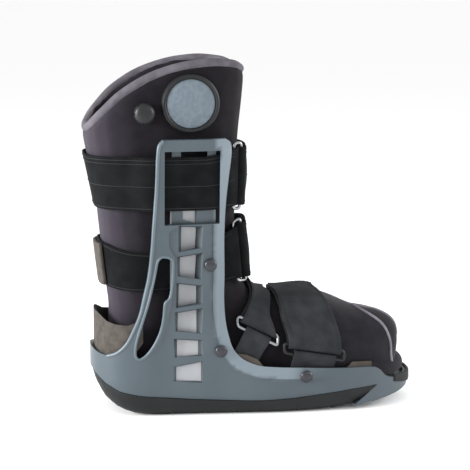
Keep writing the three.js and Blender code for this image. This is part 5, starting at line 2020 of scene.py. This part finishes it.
@dataclass
class BuckledStrap(SubAssembly):
    """A strap that passes through a ring, folds back on itself, and its ring and tab."""

    name: str = ""
    lay: StrapLay | None = None
    finish: Finish = STRAP_CLOTH
    slot_name: str = "strap"
    ring_finish: Finish = STEEL_WIRE
    ring_slot: str = "steel"
    back: float = 1.9
    settle: float = 0.6
    closes: bool = True
    tab_leg: float = 0.0
    tab_inset: float = 0.14
    ring_wire: float = 3.0
    ring_gap: float = 9.0
    ring_spread: float = 3.4
    fold_gap: float = 0.9
    columns: int = 13
    seam_lines: tuple = (0.06, 0.94)
    seam_radius: float = 0.38
    stitch_rows: tuple = (2, 4)
    stitch_size: tuple = (0.36, 0.42, 0.28)
    puff: float = 0.0

    @property
    def fold_radius(self) -> float:
        """The radius that the webbing's middle turns through round the ring's bar."""
        return self.ring_wire / 2 + self.fold_gap + FORM.strap_thickness / 2

    def build(self) -> None:
        """Builds the strap, its ring, its tab and their stitches."""
        rows = self.folded_rows()
        band = self.band(self.name + "_webbing", rows)
        self.place(band, self.finish, self.slot_name, [self.name + "_strap"])
        front = self.bar(0.0, -1, True)
        if self.closes:
            rear = self.bar(self.lay.rows[-1][0], 1, False)
        else:
            along = (front[0][1] + front[1][1]).normalized()
            rear = [(p + along * self.ring_gap, along, out) for p, _, out in front]
        self.place(self.ring(front, rear), self.ring_finish, self.ring_slot, [self.name + "_ring"])
        if self.tab_leg:
            tab = self.band(self.name + "_tab_webbing", self.tab_rows(rear))
            self.place(tab, self.finish, self.slot_name, [self.name + "_tab"])
        self.stitch(rows)
        self.seams()

    def seams(self) -> None:
        """Sewn lines that run along the strap and over the layer folded back."""
        last = self.lay.rows[-1][0]
        lines = []
        for across in self.seam_lines:
            base = self.seam_path(across, 0.15, last - 0.3, 180, lambda s, _: 0.0)
            over = self.seam_path(across, self.back - 0.04, 0.05, 40, self.lift)
            lines += [tube("seam", path, self.seam_radius, 6) for path in (base, over)]
        self.place(joined(self.name + "_seams", lines), THREAD, self.slot_name)

    def seam_path(
        self, across: float, start: float, end: float, steps: int, extra: Callable[[float, float], float]
    ) -> list[Vector]:
        """A seam's path on the face of one of the strap's layers.

        Args:
            across: its share of the way over the strap's width.
            start: its first place along the lay.
            end: its last place.
            steps: how many steps it is drawn in.
            extra: how far the layer stands over the lay.

        Returns:
            The points of the thread's middle.
        """
        path = []
        for i in range(steps + 1):
            s = lerp(start, end, i / steps)
            point, _, out = self.lay.frame(s, across)
            path.append(point + out * (extra(s, across) + FORM.strap_thickness / 2 + 0.05))
        return path

    def lift(self, s: float, across: float = 0.0) -> float:
        """How far the folded-back layer stands over the one below it.

        Args:
            s: the place along the lay.
            across: the share of the way over the width.

        Returns:
            The lift.
        """
        flat = lerp(2 * self.fold_radius, FORM.strap_thickness + FORM.soft_gap, smoothstep(s, 0, self.settle))
        along = smoothstep(s, 0.1, 0.6) * smoothstep(-s, -self.back, 0.35 - self.back)
        return flat + self.puff * along * math.sin(math.pi * across)

    def layer(self, start: float, end: float, steps: int, extra: Callable[[float, float], float]) -> list:
        """One layer of the strap.

        Args:
            start: its first place along the lay.
            end: its last place.
            steps: how many steps it has.
            extra: how far it stands over the lay at a place and share across.

        Returns:
            Rows of points with their outward directions.
        """
        rows = []
        for i in range(steps + 1):
            s = lerp(start, end, i / steps)
            row = []
            for k in range(self.columns):
                across = k / (self.columns - 1)
                point, _, out = self.lay.frame(s, across)
                row.append((point + out * extra(s, across), out))
            rows.append(row)
        return rows

    def fold(self, s: float, sense: int, outwards: bool, steps: int = 14) -> list:
        """A half turn round a ring's bar.

        Args:
            s: the place along the lay.
            sense: which way the strap ends there, -1 at its start and 1 at its end.
            outwards: whether it folds out from the liner.
            steps: steps in the turn.

        Returns:
            Rows of points with their outward directions.
        """
        side = 1 if outwards else -1
        ends = [self.lay.frame(s, across, sense) for across in (0, 1)]
        rows = []
        for i in range(steps + 1):
            turn = math.pi * i / steps
            row = []
            for k in range(self.columns):
                across = k / (self.columns - 1)
                point, along, out = (a.lerp(b, across) for a, b in zip(*ends))
                along = along.normalized()
                out = (out - along * out.dot(along)).normalized()
                centre = point + out * side * self.fold_radius
                spoke = out * (-side * math.cos(turn)) + along * math.sin(turn)
                row.append((centre + spoke * self.fold_radius, spoke * -side))
            rows.append(row)
        return rows

    @staticmethod
    def flipped(rows: list) -> list:
        """The same rows seen from the other face."""
        return [[(point, -out) for point, out in row] for row in rows]

    def folded_rows(self) -> list:
        """The whole strap: the layer folded back, the fold, the layer on the liner and its end.

        Returns:
            Rows of points with their outward directions.
        """
        last = self.lay.rows[-1][0]
        outer = self.layer(self.back, 0, 34, self.lift)[:-1]
        front = self.fold(0, -1, True)[::-1]
        base = self.layer(0, last, 150 if self.closes else 60, lambda s, _: 0.0)[1:]
        rows = outer + self.flipped(front)
        if not self.closes:
            return rows + self.flipped(base)
        rear = self.fold(last, 1, False)
        tuck = self.layer(last, last - 0.5, 8, lambda s, _: -self.lift(self.settle * (last - s) / 0.5))[1:]
        return rows + self.flipped(base[:-1]) + self.flipped(rear) + tuck

    def band(self, name: str, rows: list) -> Piece:
        """A band of webbing with its thickness and eased edges.

        Args:
            name: the new object's name.
            rows: its rows of points.

        Returns:
            The band.
        """
        piece = grid_piece(name, np.array([[list(point) for point, _ in row] for row in rows]))
        thicken(piece, FORM.strap_thickness)
        ease(piece, 0.0005)
        smooth(piece, 55)
        return piece

    def bar(self, s: float, sense: int, outwards: bool) -> list:
        """The two ends of the ring's bar that a fold at s turns round.

        Args:
            s: the place along the lay.
            sense: which way the strap ends there.
            outwards: whether it folds out from the liner.

        Returns:
            Two ends, each with its directions along and out.
        """
        ends = []
        for across in (0, 1):
            point, along, out = self.lay.frame(s, across, sense)
            ends.append((point + out * (self.fold_radius if outwards else -self.fold_radius), along, out))
        return ends

    def ring(self, front: list, rear: list) -> Piece:
        """A ring of round wire with rounded corners.

        Args:
            front: the two ends of the front bar.
            rear: those of the rear bar.

        Returns:
            The ring.
        """

        def beyond(ends: list, start: int, end: int) -> Vector:
            """A bar's end, drawn out past the webbing."""
            way = (ends[end][0] - ends[start][0]).normalized()
            return ends[end][0] + way * self.ring_spread

        corners = [beyond(front, 1, 0), beyond(front, 0, 1), beyond(rear, 0, 1), beyond(rear, 1, 0)]
        path = []
        for i, corner in enumerate(corners):
            before, after = corners[i - 1], corners[(i + 1) % 4]
            arrive, leave = (corner - before).normalized(), (after - corner).normalized()
            first, last = corner - arrive * self.ring_wire, corner + leave * self.ring_wire
            for k in range(7):
                t = k / 6
                path.append(first * (1 - t) ** 2 + corner * 2 * t * (1 - t) + last * t**2)
        return tube(self.name + "_ring_wire", path, self.ring_wire / 2, 14, closed=True)

    def tab_rows(self, bar: list) -> list:
        """A tab of webbing folded round the ring's rear bar, with its long leg down the wall.

        Args:
            bar: the rear bar's two ends.

        Returns:
            Rows of points with their outward directions.
        """
        width = bar[1][0] - bar[0][0]
        away = bar[0][1].copy()
        away = (away - width * (away.dot(width) / width.length_squared)).normalized()
        out = width.cross(away).normalized()
        if out.y > 0:
            out.negate()
        shares = [lerp(self.tab_inset, 1 - self.tab_inset, k / 8) for k in range(9)]
        wall = FORM.shell_wall + 2 * FORM.seat_gap + FORM.lining_thickness + FORM.strap_thickness / 2
        near = (FORM.strap_thickness + FORM.soft_gap) / 2

        def row(offset: Vector, face: Vector, share: float = 0.0) -> list:
            """One row of the tab.

            Args:
                offset: how far it lies from the bar.
                face: its outward direction.
                share: how far down the leg it is, which settles on the wall.

            Returns:
                Points with their outward directions.
            """
            made = []
            for across in shares:
                point = bar[0][0].lerp(bar[1][0], across) + offset
                if share > 0:
                    target = -(FORM.side_half(point.x) - wall)
                    point.y = lerp(point.y, target, smoothstep(share, 0, 0.5))
                made.append((point, face.copy()))
            return made

        def leg(side: int, length: float, share: float, followed: bool) -> list:
            """A row of one leg, share of its length away from the bar."""
            lift = side * lerp(self.fold_radius, near, smoothstep(share, 0, 0.6))
            return row(away * share * length + out * lift, out, share if followed else 0.0)

        steps = [(i + 1) / 10 for i in range(10)]
        turned_rows = []
        for i in range(13):
            turn = math.pi * i / 12
            spoke = out * math.cos(turn) - away * math.sin(turn)
            turned_rows.append(row(spoke * self.fold_radius, spoke))
        outer = [leg(1, self.tab_leg, share, True) for share in reversed(steps)]
        inner = [leg(-1, 6.0, share, False) for share in steps[:6]]
        return outer + turned_rows + self.flipped(inner)

    def stitch(self, rows: list) -> None:
        """Two rows of stitches across the strap near its loose end.

        Args:
            rows: the strap's rows.
        """
        deselect()
        bpy.ops.mesh.primitive_uv_sphere_add(segments=6, ring_count=5, radius=1)
        model = bpy.context.object
        stitches = []
        long, wide, thick = self.stitch_size
        for seam in (rows[i][1:-1] for i in self.stitch_rows):
            for (a, out), (b, _) in zip(seam, seam[1:]):
                middle = (a + b) / 2 + out * (FORM.strap_thickness / 2)
                along = (b - a).normalized()
                side = out.cross(along).normalized()
                turn = Matrix((along, side, out)).transposed().to_4x4()
                size = Matrix.Diagonal((long * (b - a).length, wide, thick, 1.0))
                copy = model.copy()
                copy.data = model.data.copy()
                bpy.context.scene.collection.objects.link(copy)
                shift = Matrix.Translation((middle + FRAME_SHIFT) * METRE)
                copy.data.transform(shift @ Matrix.Scale(METRE, 4) @ turn @ size)
                stitches.append(copy)
        bpy.data.objects.remove(model)
        piece = joined(self.name + "_stitches", stitches)
        smooth(piece, 180)
        self.place(piece, THREAD, self.slot_name)


@dataclass
class AnkleStrapEnd(SubAssembly):
    """The end of the ankle strap that lies over it at the back, painted pale for the strong light that falls on it
    from behind.
    """

    thickness: float = 3.4

    def build(self) -> None:
        """Builds the end as a thick band with eased edges."""
        over_strap = FORM.soft_gap + FORM.strap_thickness + FORM.soft_gap
        stand = over_strap + self.thickness / 2 - FORM.strap_thickness / 2
        rows = [
            [i, lerp(4.8, 4.88, i / 4), lerp(5.88, 5.92, i / 4), angle, angle, stand, 0.0]
            for i, angle in enumerate((158, 176, 194, 212, 230))
        ]
        lay = StrapLay(rows)
        points = [[list(lay.point(4 * i / 40, k / 14)) for k in range(15)] for i in range(41)]
        piece = grid_piece("ankle_strap_tail", np.array(points))
        thicken(piece, self.thickness)
        ease(piece, 0.0011, segments=3)
        smooth(piece, 60)
        # Painted light: the pale felt finish stands for the black strap's end lit strongly from behind.
        self.place(piece, BAND_FELT, "band", ["ankle_strap_end"])


# The air pump


@dataclass
class AirPump(SubAssembly):
    """The bulb in its collar, and the seat that carries the valve's knob."""

    bulb_radius: float = 21.5
    knob_radius: float = 9.5
    knob_height: float = 9.0
    seat_height: float = 2.6
    seat_radius: float = 8.17
    pin_radius: float = 4.0
    sunk: float = 6.0
    lip_height: float = 2.2
    pump_place: tuple = (0.293, 1.442)
    valve_place: tuple = (0.157, 1.331)

    @staticmethod
    def spot(place: tuple[float, float]) -> tuple[Vector, Vector]:
        """The foot and direction of a piece that stands on the liner's outer side.

        Args:
            place: its place along the sole, as a share, and its level.

        Returns:
            The point on the liner, and the way straight out of it.
        """
        x, z = place[0] * LENGTH, FORM.height_at(place[1])
        u = FORM.leg_section_for(round(z, 3))
        centre, _, reach, _ = FORM.section_at(u)
        across = (x - centre.x) / reach
        share = math.copysign(abs(across) ** (FORM.section_roundness / 2), across)
        angle = math.degrees(math.acos(share))
        around = FORM.on_liner(u, angle + 2) - FORM.on_liner(u, angle - 2)
        down = FORM.on_liner(u + 0.1, angle) - FORM.on_liner(u - 0.1, angle)
        axis = around.cross(down).normalized()
        if axis.y > 0:
            axis.negate()
        return FORM.on_liner(u, angle), axis

    def build(self) -> None:
        """Builds the bulb, its collar and the valve."""
        origin, axis = self.spot(self.pump_place)
        r, foot, lip_foot = self.bulb_radius, -self.sunk, self.lip_height
        curve = [(r * math.cos(a), 2.6 + 2.4 * math.sin(a)) for a in np.linspace(0, math.pi / 2, 10)]
        bulb = turned("pump_bulb_skin", [(0, foot), (r, foot), (r, lip_foot)] + curve, origin, axis, 64)
        self.place(bulb, BULB_SKIN, "bulb", ["pump_bulb"])
        inner, outer = r + 0.3, r + 4.5
        lip = [(outer, foot), (outer, lip_foot), (outer - 0.5, 3.3), (outer - 1.6, 4.0), (inner + 1.4, 4.0)]
        lip += [(inner + 0.4, 3.4), (inner, 2.6), (inner, foot), (outer, foot)]
        collar = turned("pump_collar_ring", lip, origin, axis, 64)
        self.place(collar, DARK_PLASTIC, "dark_plastic", ["pump_collar"])
        origin, axis = self.spot(self.valve_place)
        wide, top, pin = self.seat_radius, self.seat_height, self.pin_radius
        seat = [(0, foot), (wide, foot), (wide, lip_foot), (7.8, top), (pin, top), (pin, 8), (0, 8)]
        ring = turned("valve_seat_ring", seat, origin, axis)
        self.place(ring, DARK_PLASTIC, "dark_plastic", ["valve_seat"])
        self.body = VALVE
        self.place(self.knob(origin, axis), KNOB_PLASTIC, "dark_plastic", ["valve_knob"])

    def knob(self, origin: Vector, axis: Vector) -> Piece:
        """The lobed knob of the valve.

        Args:
            origin: the foot of its axis.
            axis: the axis's direction.

        Returns:
            The knob.
        """
        r, h, base = self.knob_radius, self.knob_height, self.seat_height + FORM.seat_gap
        bore = self.pin_radius + FORM.seat_gap
        profile = [(bore, base), (r - 0.4, base), (r, base + 0.4), (r, base + 1.6)]
        dome = ((0.98, 0.34), (0.93, 0.62), (0.82, 0.78), (0.66, 0.89), (0.4, 0.97), (0.2, 0.99), (0, 1))
        profile += [(out * r, base + up * h) for out, up in dome]
        profile += [(0, base + 0.63 * h), (bore, base + 0.63 * h), (bore, base)]
        knob = turned("valve_knob_grip", profile, origin, axis, 60)
        across = Vector((0, 0, 1)).cross(axis).normalized()
        for i in range(6):
            way = Matrix.Rotation(2 * math.pi * i / 6, 3, axis) @ across
            foot = origin + way * 1.16 * r + axis * (base + 1.6)
            notch = turned("notch", [(0, 0), (2.85, 0), (2.85, h), (0, h)], foot, axis, 20)
            cut(knob, notch)
        smooth(knob, 32)
        return knob


# Floor, light and camera


LAMPS = (
    ("key_back_left", (-1.5, -0.35, 0.5), 0.6, 42),
    ("fill_front", (0.7, -1.6, 1.3), 1.2, 4),
    ("rim_right", (1.5, -0.35, 0.7), 0.8, 20),
)


@dataclass
class Studio:
    """A pale floor, soft lights, and the camera at the photograph's angle."""

    floor_size: float = 60.0
    floor_drop: float = 0.0006
    floor_white: float = 0.98
    surround: float = 0.98
    focal: float = 116.3
    sensor: float = 36.0
    azimuth: float = -9.0
    elevation: float = 9.5
    distance: float = 1.41
    target: tuple = (-0.0131, 0.0, 0.1572)

    def build(self) -> None:
        """Sets the floor, the lights and the camera."""
        bpy.context.scene.view_settings.view_transform = "Standard"
        self.floor()
        self.lights()
        self.camera()

    def floor(self) -> None:
        """A wide pale floor, a hair under the sole."""
        deselect()
        bpy.ops.mesh.primitive_plane_add(size=self.floor_size, location=(0, 0, -self.floor_drop))
        floor = bpy.context.object
        floor.name = "studio_floor"
        material = bpy.data.materials.new("studio_paper")
        material.use_nodes = True
        shader = material.node_tree.nodes["Principled BSDF"]
        shader.inputs["Base Color"].default_value = (*[self.floor_white] * 3, 1)
        shader.inputs["Roughness"].default_value = 1.0
        floor.data.materials.append(material)
        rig.stage(floor)

    def lights(self) -> None:
        """Three soft lamps and a bright pale surround."""
        world = bpy.data.worlds.new("studio_surround")
        bpy.context.scene.world = world
        world.use_nodes = True
        background = world.node_tree.nodes["Background"]
        background.inputs[0].default_value = (1, 1, 1, 1)
        background.inputs[1].default_value = self.surround
        for name, spot, size, power in LAMPS:
            lamp = bpy.data.lights.new(name, "AREA")
            lamp.size, lamp.energy = size, power
            holder = bpy.data.objects.new(name, lamp)
            bpy.context.scene.collection.objects.link(holder)
            holder.location = spot
            way = Vector((0, 0, 0.15)) - Vector(spot)
            holder.rotation_euler = way.to_track_quat("-Z", "Y").to_euler()

    def camera(self) -> None:
        """The camera, level with the photograph's."""
        data = bpy.data.cameras.new("view")
        data.lens, data.sensor_width = self.focal, self.sensor
        holder = bpy.data.objects.new("view", data)
        bpy.context.scene.collection.objects.link(holder)
        turn, rise = math.radians(self.azimuth), math.radians(self.elevation)
        flat = self.distance * math.cos(rise)
        away = Vector((flat * math.sin(turn), -flat * math.cos(turn), self.distance * math.sin(rise)))
        holder.location = Vector(self.target) + away
        way = -away
        holder.rotation_euler = way.to_track_quat("-Z", "Y").to_euler()
        bpy.context.scene.camera = holder


def main() -> None:
    """Builds the boot's pieces in order and writes the sizes."""
    logging.basicConfig(level=logging.INFO, format="%(name)s %(message)s")
    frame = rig.load()
    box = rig.bounds()
    Studio().build()
    MouldedShell(frame).build()
    FittedParts(frame).build()
    PaddedLiner(frame).build()
    BuckledStrap(frame, name="calf", lay=calf_lay(), seam_lines=(0.05, 0.11, 0.5, 0.95), puff=2.6).build()
    BuckledStrap(frame, name="ankle", lay=ankle_lay(), puff=3.0).build()
    AnkleStrapEnd(frame).build()
    BuckledStrap(
        frame, name="instep", lay=INSTEP_LAY, finish=WEBBING_CLOTH, slot_name="webbing",
        back=1.3, settle=0.3, closes=False, tab_leg=26.0,
    ).build()
    BuckledStrap(
        frame, name="forefoot", lay=FOREFOOT_LAY, finish=WEBBING_CLOTH, slot_name="webbing",
        ring_finish=DARK_PLASTIC, ring_slot="dark_plastic",
        back=1.3, settle=0.3, closes=False, tab_leg=24.0, tab_inset=0.1,
    ).build()
    AirPump(frame).build()
    deselect()
    low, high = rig.bounds()
    with open(SIZE_FILE, "w", encoding="utf-8") as kept:
        json.dump({"cad": [list(box[0]), list(box[1])], "visual": [list(low), list(high)]}, kept)
    LOG.info("pieces: %d", len(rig.pieces()))


if __name__ == "__main__":
    main()
